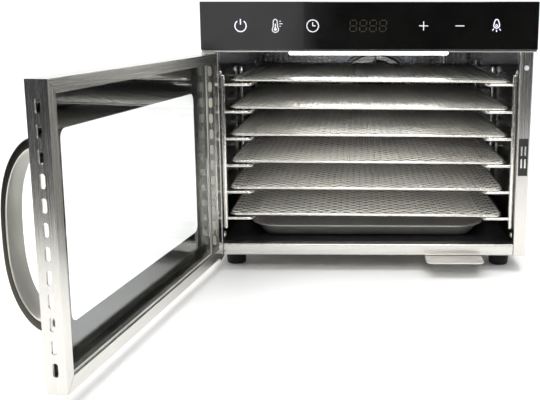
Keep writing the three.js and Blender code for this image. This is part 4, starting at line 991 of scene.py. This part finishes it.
class DEHYDRATOR_OT_trays(bpy.types.Operator):
    """Weave the six trays: a round rim and a plain weave of wire, each as it lies on its rails"""

    bl_idname = "dehydrator.trays"
    bl_label = "Trays"

    RIM = 1.5 * MM
    CORNER = 10 * MM
    SHIFTS = (2.0, 1.2, 0.8, 0.2, -1.8, -2.2)  # mm to the right, each tray as it was put in
    SAG = 0.5 * MM
    CRIMP = 0.62 * MM

    def execute(self, context):
        for k, node in enumerate(TRAYS):
            shape = Shape()
            low, high = corners(node)
            self.rim(shape, low, high)
            self.weave(shape, low, high)
            self.lie(shape, low, high, k)
            finishes = ["wire", "mesh"]
            piece = shape.build(f"{node}_woven", f"{node}_body", finishes, merge=1e-8, slot="bright_wire")
            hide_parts(node)
        return {"FINISHED"}

    def rim(self, shape, low, high):
        """A closed round wire along the tray's outline."""
        wide, deep = (high - low)[:2] - 2 * self.RIM
        centre = (low + high) / 2
        loop = rounded_rectangle(wide, deep, self.CORNER - self.RIM, 8)
        keep = np.linalg.norm(loop - np.roll(loop, 1, 0), axis=1) > 1e-7
        line = np.column_stack((loop[keep] + centre[:2], np.full(keep.sum(), low[2] + self.RIM)))
        shape.add_grid(tube(line, self.RIM, 12, closed=True), 0, close_rows=True, close_columns=True)

    def weave(self, shape, low, high):
        """A plain weave: wire k at crossing j is raised by crimp times minus one to the power j plus k."""
        radius = sizes().weave_wire / 2
        inner_low, inner_high = low[:2] + self.RIM, high[:2] - self.RIM
        z = low[2] + self.RIM
        counts = np.round((inner_high - inner_low) / sizes().weave_pitch).astype(int)
        steps = (inner_high - inner_low) / counts
        for axis in (0, 1):
            other = 1 - axis
            wires = np.arange(1, counts[other])
            crossings = np.arange(0, counts[axis] + 1)
            beside = inner_low[other] + wires * steps[other]
            room = np.minimum(beside - inner_low[other], inner_high[other] - beside)
            corner = self.CORNER - self.RIM
            bend = np.clip(corner - room, 0, None)
            inset = corner - np.sqrt(corner**2 - bend**2)
            share = crossings[None] / counts[axis]
            length = (inner_high - inner_low)[axis] - 2 * inset[:, None]
            along = inner_low[axis] + inset[:, None] + share * length
            raised = self.CRIMP * (-1.0) ** (wires[:, None] + crossings[None] + axis)
            raised[:, [0, -1]] = 0
            line = np.empty((*along.shape, 3))
            line[..., axis] = along
            line[..., other] = beside[:, None]
            line[..., 2] = z + raised
            self.wires(shape, line, radius, other)

    def wires(self, shape, line, radius, other):
        """Four-sided wires: each point of a line plus radius along the level normal and upwards, in turn."""
        offsets = np.zeros((4, 3))
        offsets[0, other] = radius
        offsets[2, other] = -radius
        offsets[1, 2] = radius
        offsets[3, 2] = -radius
        points = line[:, :, None] + offsets[None, None]
        count, rows = line.shape[:2]
        one = grid_faces(rows, 4, close_columns=True)
        ends = np.array([[3, 2, 1, 0], [(rows - 1) * 4 + k for k in range(4)]])
        faces = np.concatenate((one, ends))
        every = faces[None] + (np.arange(count) * rows * 4)[:, None, None]
        shape.add(points, every.reshape(-1, 4).tolist(), 1)

    def lie(self, shape, low, high, k):
        """Moves the tray as it lies: its left side raised off the rail, its middle a little low."""
        points = np.concatenate(shape.points)
        share = (points[:, :2] - low[:2]) / (high - low)[:2]
        sag = self.SAG * (1 - (2 * share[:, 0] - 1) ** 2) * (1 - (2 * share[:, 1] - 1) ** 2)
        points[:, 2] += sizes().tray_lift * (1 - share[:, 0]) - sag
        points[:, 0] += self.SHIFTS[k] * MM
        shape.points = [points]


class DEHYDRATOR_OT_drip_tray(bpy.types.Operator):
    """Draw the drip tray from sheet: flared walls, round corners and a rolled rim"""

    bl_idname = "dehydrator.drip_tray"
    bl_label = "Drip tray"

    WALL = 0.9 * MM
    RIM = 4 * MM
    FLARE = 9 * MM
    CORNER = 32 * MM

    def execute(self, context):
        (x0, y0, z0), (x1, y1, z1) = corners("drip_tray")
        foot = self.RIM + self.FLARE
        height = z1 - z0
        outer = [(foot + 3 * MM, 0), (foot + 1.2 * MM, 0.25 * MM), (foot - 0.4 * MM, 1.4 * MM)]
        outer += [(self.RIM + 1.3 * MM, height - 2.4 * MM), (self.RIM + 0.4 * MM, height - 1.1 * MM)]
        outer += [(self.RIM - 0.6 * MM, height - self.WALL), (0.6 * MM, height - self.WALL)]
        roll = [(0.15 * MM, height - self.WALL * 0.8), (0, height - self.WALL / 2)]
        roll += [(0.2 * MM, height - 0.1 * MM)]
        inner = [(0.7 * MM, height), (self.RIM, height), (self.RIM + 1.1 * MM, height - 0.4 * MM)]
        inner += [(self.RIM + 1.9 * MM, height - 1.9 * MM), (foot + 0.6 * MM, 2.3 * MM)]
        inner += [(foot + 2.0 * MM, 1.15 * MM), (foot + 3.8 * MM, self.WALL)]
        profile = np.array(outer + roll + inner)
        loops = []
        for inset, z in profile:
            loop = rounded_rectangle(x1 - x0 - 2 * inset, y1 - y0 - 2 * inset, self.CORNER - inset, 12)
            loop += ((x0 + x1) / 2, (y0 + y1) / 2)
            loops.append(np.column_stack((loop, np.full(len(loop), z0 + z))))
        shape = Shape().add_grid(np.stack(loops), close_columns=True, caps=True)
        piece = shape.build("drip_tray_pan", "drip_tray_body", ["satin"], slot="brushed_steel")
        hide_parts("drip_tray")
        return {"FINISHED"}


class DEHYDRATOR_OT_fan(bpy.types.Operator):
    """Make the fan's blades, its wire guard, the mouth's flared lip and the heater"""

    bl_idname = "dehydrator.fan"
    bl_label = "Fan and heater"

    BLADES = 7
    BLADE_TIP = 46 * MM
    HUB = 15 * MM
    MOUTH = 56 * MM
    WIRE = 1.2 * MM
    GUARD_PAST = 3 * MM
    HEATER_RADIUS = 56 * MM
    HEATER_WIRE = 3.5 * MM
    HEATER_SPLIT = 0.2

    def execute(self, context):
        self.blades()
        self.guard()
        self.lip()
        self.heater()
        return {"FINISHED"}

    def blades(self):
        """Swept blades: chord and slant change from root to tip, and blade k is turned by k even shares."""
        low, high = corners("fan_blade")
        front, back = low[1], high[1]
        deep = back - front
        out = np.linspace(0, 1, 9)[:, None]
        across = np.linspace(-1, 1, 7)[None, :]
        radius = self.HUB * 0.85 + (self.BLADE_TIP - self.HUB * 0.85) * out
        slant = radians(38) - radians(17) * out
        chord = (11 + 2.5 * np.sin(out * pi)) * MM
        sweep = 0.22 * out**2
        camber = 1.3 * MM * (1 - across**2)
        side = chord * across * np.cos(slant)
        depth = np.clip(chord * across * np.sin(slant) + camber, -deep * 0.46, deep * 0.46)
        shape = Shape()
        for k in range(self.BLADES):
            angle = 2 * pi * k / self.BLADES + sweep + side / radius
            x = FAN[0] + radius * np.sin(angle)
            z = FAN[2] + radius * np.cos(angle)
            y = (front + back) / 2 + depth
            shape.add_grid(np.stack((x, y + 0 * x, z), axis=-1))
        fan = shape.build("fan_blades", "fan", ["aluminium"], solidify=0.8 * MM, slot="fan_aluminium")
        edge = arc(0, pi / 2, 6, 3 * MM, (self.HUB - 3 * MM, deep - 3 * MM))
        sunk = deep - 1 * MM
        crown = [(5 * MM, deep), (4.4 * MM, sunk), (0, sunk)]
        profile = np.concatenate(([(0, 0), (self.HUB, 0)], edge, crown))
        hub = Shape().add_grid(turned(profile, (FAN[0], back, FAN[2]), -BACK, 40), close_columns=True)
        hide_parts("fan_blade")
        hub.build("fan_hub", "fan", ["aluminium"], slot="fan_aluminium")

    def guard(self):
        """Three wire rings on six spokes, with a domed cap in the middle."""
        outer = self.MOUTH + self.GUARD_PAST
        y = corners("fan_guard")[1][1] - self.WIRE
        shape = Shape()
        for k in (1, 2, 3):
            ring = arc(0, 2 * pi, 64, outer * k / 3)[:-1]
            line = np.column_stack((FAN[0] + ring[:, 0], np.full(len(ring), y), FAN[2] + ring[:, 1]))
            shape.add_grid(tube(line, self.WIRE, 8, BACK, True), close_rows=True, close_columns=True)
        for k in range(6):
            way = np.array((np.sin(k * pi / 3), 0, np.cos(k * pi / 3)))
            start = np.array((FAN[0], y, FAN[2]))
            line = np.stack((start, start + way * (outer + self.GUARD_PAST)))
            shape.add_grid(tube(line, self.WIRE, 8, BACK), close_columns=True, caps=True)
        cap = dome(9 * MM, -1.2 * MM, 2.4 * MM, 1.8 * MM)
        shape.add_grid(turned(cap, (FAN[0], y, FAN[2]), -BACK, 32), close_columns=True)
        piece = shape.build("fan_guard_wire", "cabinet", ["wire"], slot="bright_wire")
        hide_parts("fan_guard")

    def lip(self):
        """The rolled edge of the mouth: a half-round bead inside the hole, turned about the fan's axis."""
        y = corners("rear_baffle")[0][1]
        loop = arc(0, 2 * pi, 14)[:-1] * (0.45 * MM, 2.2 * MM)
        profile = loop + (self.MOUTH - 0.5 * MM, -1.9 * MM)
        shape = Shape()
        grid = turned(profile, (FAN[0], y, FAN[2]), -BACK, 72)
        shape.add_grid(grid, close_rows=True, close_columns=True)
        shape.build("mouth_lip", "cabinet", ["steel_bright"], slot="liner_steel")

    def heater(self):
        """A ring of tube round the fan; each end bends by a quarter circle and runs back to the liner."""
        low, high = corners("heater_element")
        y = low[1] + self.HEATER_WIRE
        bend = 7 * MM
        turn = bend / self.HEATER_RADIUS
        angle = np.linspace(pi + self.HEATER_SPLIT + turn, 3 * pi - self.HEATER_SPLIT - turn, 80)
        radial = np.column_stack((np.sin(angle), 0 * angle, np.cos(angle)))
        ring = np.array((FAN[0], y, FAN[2])) + self.HEATER_RADIUS * radial
        ends = []
        for point, before in ((ring[0], ring[1]), (ring[-1], ring[-2])):
            way = (point - before) / np.linalg.norm(point - before)
            share = np.linspace(0.2, pi / 2, 7)[:, None]
            quarter = point + bend * np.sin(share) * way + bend * (1 - np.cos(share)) * BACK
            tail = quarter[-1] + BACK * (high[1] - quarter[-1][1])
            ends.append(np.concatenate((quarter, [tail])))
        path = np.concatenate((ends[0][::-1], ring, ends[1]))
        inward = np.array((FAN[0], 0, FAN[2])) - path * (1, 0, 1)
        along = np.gradient(path, axis=0)
        along /= np.linalg.norm(along, axis=1, keepdims=True)
        side = np.cross(along, inward)
        side /= np.linalg.norm(side, axis=1, keepdims=True)
        other = np.cross(along, side)
        circle = np.linspace(0, 2 * pi, 12, endpoint=False)[None, :, None]
        around = np.cos(circle) * side[:, None] + np.sin(circle) * other[:, None]
        grid = path[:, None] + self.HEATER_WIRE * around
        shape = Shape().add_grid(grid, close_columns=True, caps=True)
        piece = shape.build("heater_tube", "cabinet", ["sheath"], slot="heater_sheath")
        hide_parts("heater_element")


class DEHYDRATOR_OT_door(bpy.types.Operator):
    """Add the window's black print and the foam tape behind the free stile's slots, whose glow is painted
    light
    """

    bl_idname = "dehydrator.door"
    bl_label = "Door glass"

    PRINT = 0.06 * MM
    TAPE = (3.7, 13.5)  # mm from the free edge
    TAPE_HEIGHTS = (44, 178)  # mm above the floor
    INSERTS = 12
    INSERT_PITCH = 16.5 * MM
    INSERT_WIDTH = 4.0 * MM
    INSERT_LENGTH = 10.4 * MM

    def execute(self, context):
        low, high = door_box("door_glass")
        self.edges = np.array((door_box("door_hinge_stile")[0][0], door_box("door_free_stile")[1][0]))
        self.heights = np.array((door_box("door_bottom_rail")[0][2], door_box("door_top_rail")[1][2]))
        self.window_print(low)
        self.tape(high[1])
        self.inserts()
        return {"FINISHED"}

    def loop(self, inset, radius, steps=8):
        """A rounded rectangle inset from the door's edges, as points along the door and up."""
        wide, tall = np.ptp(self.edges) - 2 * inset, np.ptp(self.heights) - 2 * inset
        return rounded_rectangle(wide, tall, radius, steps) + (self.edges.mean(), self.heights.mean())

    def window_print(self, low):
        """A thin black layer on the pane's outer face, open at the window."""
        outer = self.loop(low[0] - self.edges[0], 0.5 * MM)
        inner = self.loop(sizes().door_border, sizes().window_corner)
        levels = (low[1] - 0.02 * MM, low[1] - 0.02 * MM - self.PRINT)

        def place(points, end):
            return from_door(np.column_stack((points[:, 0], np.full(len(points), levels[end]), points[:, 1])))

        shape = frame_ring(Shape(), outer, inner, place)
        shape.build("door_window_print", "door", ["print"], False, slot="black_glass")

    def tape(self, face):
        """A flat strip on the pane's inner face, behind the free stile's slots; its glow is painted light
        standing in for light that comes through the slots.
        """
        near, far = (self.edges[1] - inset * MM for inset in self.TAPE)
        low = np.array((far, face + 0.02 * MM, self.TAPE_HEIGHTS[0] * MM))
        high = np.array((near, face + 0.27 * MM, self.TAPE_HEIGHTS[1] * MM))
        points = from_door(box_points(low, high))
        shape = Shape().add_grid(points, close_columns=True, caps=True)
        shape.build("door_foam_tape", "door", ["foam"], False, 0.1 * MM)

    def inserts(self):
        """A cream insert in each slot of the hinge stile: straight sides between two half circles."""
        shape = Shape()
        edge = self.edges[0]
        r = self.INSERT_WIDTH / 2
        half = self.INSERT_LENGTH / 2 - r
        outline = np.concatenate((arc(0, pi, 8, r, (0, half)), arc(pi, 2 * pi, 8, r, (0, -half))))
        for k in range(self.INSERTS):
            height = self.heights.mean() + (k - (self.INSERTS - 1) / 2) * self.INSERT_PITCH

            def place(points, end, height=height):
                along = np.full(len(points), edge + (0.25, 0.95)[end] * MM)
                return from_door(np.column_stack((along, points[:, 0], points[:, 1] + height)))

            plate(shape, outline, place)
        shape.build("door_slot_inserts", "door", ["cream"], False)


class DEHYDRATOR_OT_handle(bpy.types.Operator):
    """Bend the door handle from flat bar: two superellipse arcs joined by a rounded section, its two narrow
    sides in a dark copy of the steel as painted shade
    """

    bl_idname = "dehydrator.handle"
    bl_label = "Door handle"

    STRAP = 5 * MM
    FOOT = 8 * MM
    POWERS = (2.6, 1.5)
    STEPS = 97
    EDGE = 0.9 * MM
    CORNER_STEPS = 4
    SHADED_SIDE_COLUMNS = (3, 11)  # the section's two narrow sides, counted round it, which take the painted-shade finish

    def execute(self, context):
        low, high = door_box("door_handle")
        reach, span = high[1] - low[1], high[2] - low[2]
        outer = self.bow(span, reach)
        inner = self.bow(span - 2 * self.FOOT, reach - self.STRAP)
        half = (high[0] - low[0]) / 2 - self.EDGE
        thick = np.linalg.norm(outer - inner, axis=1)
        way = (outer - inner) / thick[:, None]
        across, base = [], []
        for turn, side, far in ((-pi / 2, 1, 0), (0, 1, 1), (pi / 2, -1, 1), (pi, -1, 0)):
            corner = arc(turn, turn + pi / 2, self.CORNER_STEPS, self.EDGE)
            across += list(side * half + corner[:, 0])
            base += [(thick - self.EDGE if far else self.EDGE) + rise for rise in corner[:, 1]]
        across, depth = np.array(across), np.stack(np.broadcast_arrays(*base), axis=1)
        flat = inner[:, None] + way[:, None] * depth[..., None]
        ring = np.empty((self.STEPS, len(across), 3))
        ring[..., 0] = (low[0] + high[0]) / 2 + across
        ring[..., 1] = high[1] - flat[..., 0]
        ring[..., 2] = (low[2] + high[2]) / 2 + flat[..., 1]
        shape = Shape().add_grid(from_door(ring), close_columns=True, caps=True)
        # the narrow sides get the dark painted-shade finish
        edges = np.isin(np.arange((self.STEPS - 1) * len(across)) % len(across), self.SHADED_SIDE_COLUMNS)
        shape.finish[: len(edges)] = edges.astype(int).tolist()
        piece = shape.build("door_handle_bow", "door", ["handle", "handle_edge_painted_shade"], slot="brushed_steel")
        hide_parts("door_handle")
        return {"FINISHED"}

    def bow(self, span, reach):
        """Reach times (1 minus |s| to the power a) to the power 1/b, over a height that follows s."""
        along, away = self.POWERS
        share = -np.cos(np.linspace(0, pi, self.STEPS))
        rise = np.maximum(1 - np.abs(share) ** along, 0) ** (1 / away)
        return np.column_stack((reach * rise, span / 2 * share))


class DEHYDRATOR_OT_hinges(bpy.types.Operator):
    """Turn the hinge pins with domed ends"""

    bl_idname = "dehydrator.hinges"
    bl_label = "Hinge pins"

    ROUND_END = 1.2 * MM

    def execute(self, context):
        """Radius times cos to the power 0.6 over a height that follows sin: straight sides, domed ends."""
        for node in ("hinge_pin_lower", "hinge_pin_upper"):
            wide, _, length = np.ptp(corners(node), axis=0)
            radius = wide / 2
            share = np.linspace(-pi / 2, pi / 2, 14)
            body = np.sign(np.sin(share)) * (length / 2 - self.ROUND_END) + self.ROUND_END * np.sin(share)
            profile = np.column_stack((radius * np.cos(share) ** 0.6, body))
            shape = Shape().add_grid(turned(profile, middle(node), UP, 36), close_columns=True)
            piece = shape.build(f"{node}_turned", "cabinet", ["zinc"], slot="bright_wire")
            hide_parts(node)
        return {"FINISHED"}


class DEHYDRATOR_OT_latch(bpy.types.Operator):
    """Make the magnet catch with its poles, the white bumper and the door's rest tab"""

    bl_idname = "dehydrator.latch"
    bl_label = "Catch, bumper and tab"

    POLE = (1.7, 9.6)  # mm, width and height
    POLE_PLACES = [(x, z) for x in (-1.9, 1.9) for z in (-6.6, 6.6)]  # mm
    TAB_CORNER = 7 * MM

    def execute(self, context):
        self.catch()
        self.bumper()
        self.tab()
        return {"FINISHED"}

    def catch(self):
        """The housing's box with rounded edges, and four thin plates a little proud of its front."""
        low, high = corners("magnet_catch")
        shape = Shape().add_grid(box_points(low, high), close_columns=True, caps=True)
        name = "magnet_catch_housing"
        piece = shape.build(name, "cabinet", ["plastic"], False, 0.6 * MM, slot="black_plastic")
        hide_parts("magnet_catch")
        poles = Shape()
        x, _, z = (low + high) / 2
        wide, tall = np.array(self.POLE) * MM / 2
        for dx, dz in self.POLE_PLACES:
            spot = np.array((x + dx * MM, low[1], z + dz * MM))
            size = np.array((wide, 0.18 * MM, tall))
            poles.add_grid(box_points(spot - size, spot + size), close_columns=True, caps=True)
        poles.build("magnet_poles", "cabinet", ["steel_bright"], False, 0.1 * MM)

    def bumper(self):
        """A lathe shape: a thin stem in the post and a domed button in front of it."""
        (x0, y0, z0), (x1, y1, z1) = corners("door_bumper")
        radius = (x1 - x0) / 2
        profile = np.concatenate(([(0, 0), (1.3 * MM, 0), (1.3 * MM, y1 - FRONT)], [(radius, y1 - FRONT)],
                                  dome(radius, y1 - FRONT, y1 - y0, 0.8 * MM)[2:]))
        centre = ((x0 + x1) / 2, y1, (z0 + z1) / 2)
        shape = Shape().add_grid(turned(profile, centre, -BACK, 36), close_columns=True)
        piece = shape.build("door_bumper_button", "cabinet", ["nylon"], slot="white_plastic")
        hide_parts("door_bumper")

    def tab(self):
        """A plate whose front corners are round."""
        (x0, y0, z0), (x1, y1, z1) = corners("door_rest_tab")
        r = self.TAB_CORNER
        outline = np.concatenate((
            arc(pi, 1.5 * pi, 8, r, (x0 + r, y0 + r)),
            arc(-pi / 2, 0, 8, r, (x1 - r, y0 + r)),
            [(x1, y1), (x0, y1)],
        ))
        shape = plate(Shape(), outline, level(z0, z1))
        name = "door_rest_tab_plate"
        piece = shape.build(name, "cabinet", ["satin"], False, 0.4 * MM, slot="brushed_steel")
        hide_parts("door_rest_tab")


class DEHYDRATOR_OT_inlet(bpy.types.Operator):
    """Sheathe the three inlet blades in bright metal"""

    bl_idname = "dehydrator.inlet"
    bl_label = "Power inlet"

    BLADE = np.array((1.05, 4.7, 2.05)) * MM  # half its width, depth and height
    BLADE_DEPTH = 10.6 * MM  # from the flange's face to a blade's middle
    PITCH = 7 * MM
    RISE = 2 * MM

    def execute(self, context):
        low, high = corners("power_inlet")
        centre = (low + high) / 2
        blades = Shape()
        for side in (-1, 0, 1):
            up = -self.RISE if side else self.RISE
            spot = np.array((centre[0] + side * self.PITCH, high[1] - self.BLADE_DEPTH, centre[2] + up))
            blades.add_grid(box_points(spot - self.BLADE, spot + self.BLADE), close_columns=True, caps=True)
        blades.build("inlet_blades", "cabinet", ["zinc"], False, 0.3 * MM)
        return {"FINISHED"}


class DEHYDRATOR_OT_stage(bpy.types.Operator):
    """Lay the pale floor, light the scene softly and set the camera"""

    bl_idname = "dehydrator.stage"
    bl_label = "Stage"

    CAMERA = (0.0274, -0.9074, 0.2758)
    PITCH = 10.82
    YAW = 0.70
    SHIFT = (-0.141, -0.049)
    FLOOR_FRONT = -0.75
    FLOOR_REACH = 2.2  # metres to each side and to the back
    DARK_FROM = (-0.15, 0.35)  # the dark part fades out between these directions along Y
    DARK_BELOW = (0.55, 0.9)  # and between these along Z
    SURROUND = 1.15
    LIGHTS = (  # name, place, aim, size in metres and power in watts
        ("key", (-1.0, -0.9, 2.3), (0.0, 0.0, 0.1), 0.9, 9),
        ("top", (0.1, 0.3, 2.5), (0.05, 0.0, 0.0), 2.2, 62),
        ("front", (0.15, -1.35, 1.15), (0.05, 0.1, 0.1), 0.5, 8),
        ("sheen", (-0.45, -2.1, 0.3), (0.0, 0.0, 0.2), 0.6, 1.2),
    )

    def execute(self, context):
        self.floor()
        self.world(context)
        self.lights()
        self.camera(context)
        context.scene.view_settings.view_transform = "Standard"
        return {"FINISHED"}

    def floor(self):
        """A level sheet, pale and matt, that ends a little in front of the part."""
        reach = self.FLOOR_REACH
        x, y = np.meshgrid(np.linspace(-reach, reach, 5), np.linspace(self.FLOOR_FRONT, reach, 5))
        mesh = bpy.data.meshes.new("floor")
        mesh.from_pydata(np.stack((x, y, 0 * x), axis=-1).reshape(-1, 3), [], grid_faces(5, 5).tolist())
        material, nodes, links, shader = new_material("pale_floor")
        tone = noise(nodes, links, object_vector(nodes, links, (3, 3, 3)), 2.0)
        pale = shaded(nodes, links, tone, (0.93, 0.93, 0.925), (0.96, 0.96, 0.955))
        links.new(pale, shader.inputs["Base Color"])
        shader.inputs["Roughness"].default_value = 0.6
        mesh.materials.append(material)
        floor = bpy.data.objects.new("floor", mesh)
        bpy.context.scene.collection.objects.link(floor)
        floor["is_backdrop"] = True

    def world(self, context):
        """White all round, but dim low down behind the camera, so that steel shows light and dark."""
        world = bpy.data.worlds.new("studio")
        context.scene.world = world
        world.use_nodes = True
        nodes, links = world.node_tree.nodes, world.node_tree.links
        place = nodes.new("ShaderNodeTexCoord")
        split = nodes.new("ShaderNodeSeparateXYZ")
        links.new(place.outputs["Generated"], split.inputs[0])
        behind = ranged(nodes, links, split.outputs["Y"], 1.0, 0.0, *self.DARK_FROM)
        lowly = ranged(nodes, links, split.outputs["Z"], 1.0, 0.0, *self.DARK_BELOW)
        both = nodes.new("ShaderNodeMath")
        both.operation = "MULTIPLY"
        links.new(behind, both.inputs[0])
        links.new(lowly, both.inputs[1])
        colour = shaded(nodes, links, both.outputs[0], (1, 1, 1), (0.035, 0.036, 0.04), 0.0, 1.0)
        seen = nodes.new("ShaderNodeLightPath")
        backdrop = nodes.new("ShaderNodeMix")
        backdrop.data_type = "RGBA"
        backdrop.inputs[7].default_value = (1, 1, 1, 1)
        links.new(seen.outputs["Is Camera Ray"], backdrop.inputs[0])
        links.new(colour, backdrop.inputs[6])
        links.new(backdrop.outputs[2], nodes["Background"].inputs["Color"])
        nodes["Background"].inputs["Strength"].default_value = self.SURROUND

    def lights(self):
        """Square lamps, each turned from its place towards its aim."""
        for name, place, aim, size, power in self.LIGHTS:
            data = bpy.data.lights.new(name, "AREA")
            data.size = size
            data.energy = power
            light = bpy.data.objects.new(name, data)
            way = np.array(aim) - np.array(place)
            light.location = place
            light.rotation_euler = Vector(way).to_track_quat("-Z", "Y").to_euler()
            bpy.context.scene.collection.objects.link(light)

    def camera(self, context):
        """A camera that looks down by the pitch and turns by the yaw."""
        data = bpy.data.cameras.new("camera")
        data.lens = sizes().lens
        data.shift_x, data.shift_y = self.SHIFT
        camera = bpy.data.objects.new("camera", data)
        camera.location = self.CAMERA
        camera.rotation_euler = (radians(90 - self.PITCH), 0, radians(self.YAW))
        context.scene.collection.objects.link(camera)
        context.scene.camera = camera


class DEHYDRATOR_PT_panel(bpy.types.Panel):
    """Sizes, colours and steps of the food dehydrator"""

    bl_idname = "DEHYDRATOR_PT_panel"
    bl_label = "Food dehydrator"
    bl_space_type = "VIEW_3D"
    bl_region_type = "UI"
    bl_category = "Dehydrator"

    def draw(self, context):
        for group in (context.scene.dehydrator_sizes, context.scene.dehydrator_colours):
            column = self.layout.column()
            for name in group.__annotations__:
                column.prop(group, name)
        for operator in OPERATORS:
            self.layout.operator(operator.bl_idname)


OPERATORS = (
    DEHYDRATOR_OT_finishes,
    DEHYDRATOR_OT_front_frame,
    DEHYDRATOR_OT_covers,
    DEHYDRATOR_OT_feet,
    DEHYDRATOR_OT_control_panel,
    DEHYDRATOR_OT_lamp,
    DEHYDRATOR_OT_racks,
    DEHYDRATOR_OT_trays,
    DEHYDRATOR_OT_drip_tray,
    DEHYDRATOR_OT_fan,
    DEHYDRATOR_OT_door,
    DEHYDRATOR_OT_handle,
    DEHYDRATOR_OT_hinges,
    DEHYDRATOR_OT_latch,
    DEHYDRATOR_OT_inlet,
    DEHYDRATOR_OT_stage,
)
CLASSES = (DehydratorColours, DehydratorSizes, *OPERATORS, DEHYDRATOR_PT_panel)


def register():
    for one in CLASSES:
        bpy.utils.register_class(one)
    bpy.types.Scene.dehydrator_colours = bpy.props.PointerProperty(type=DehydratorColours)
    bpy.types.Scene.dehydrator_sizes = bpy.props.PointerProperty(type=DehydratorSizes)


def unregister():
    del bpy.types.Scene.dehydrator_sizes
    del bpy.types.Scene.dehydrator_colours
    for one in reversed(CLASSES):
        bpy.utils.unregister_class(one)


def main():
    register()
    for operator in OPERATORS:
        getattr(bpy.ops.dehydrator, operator.bl_idname.split(".")[1])()
    measured = {"cad": FIRST_BOUNDS, "visual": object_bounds()}
    {name: [list(corner) for corner in pair] for name, pair in measured.items()}


if __name__ == "__main__":
    main()
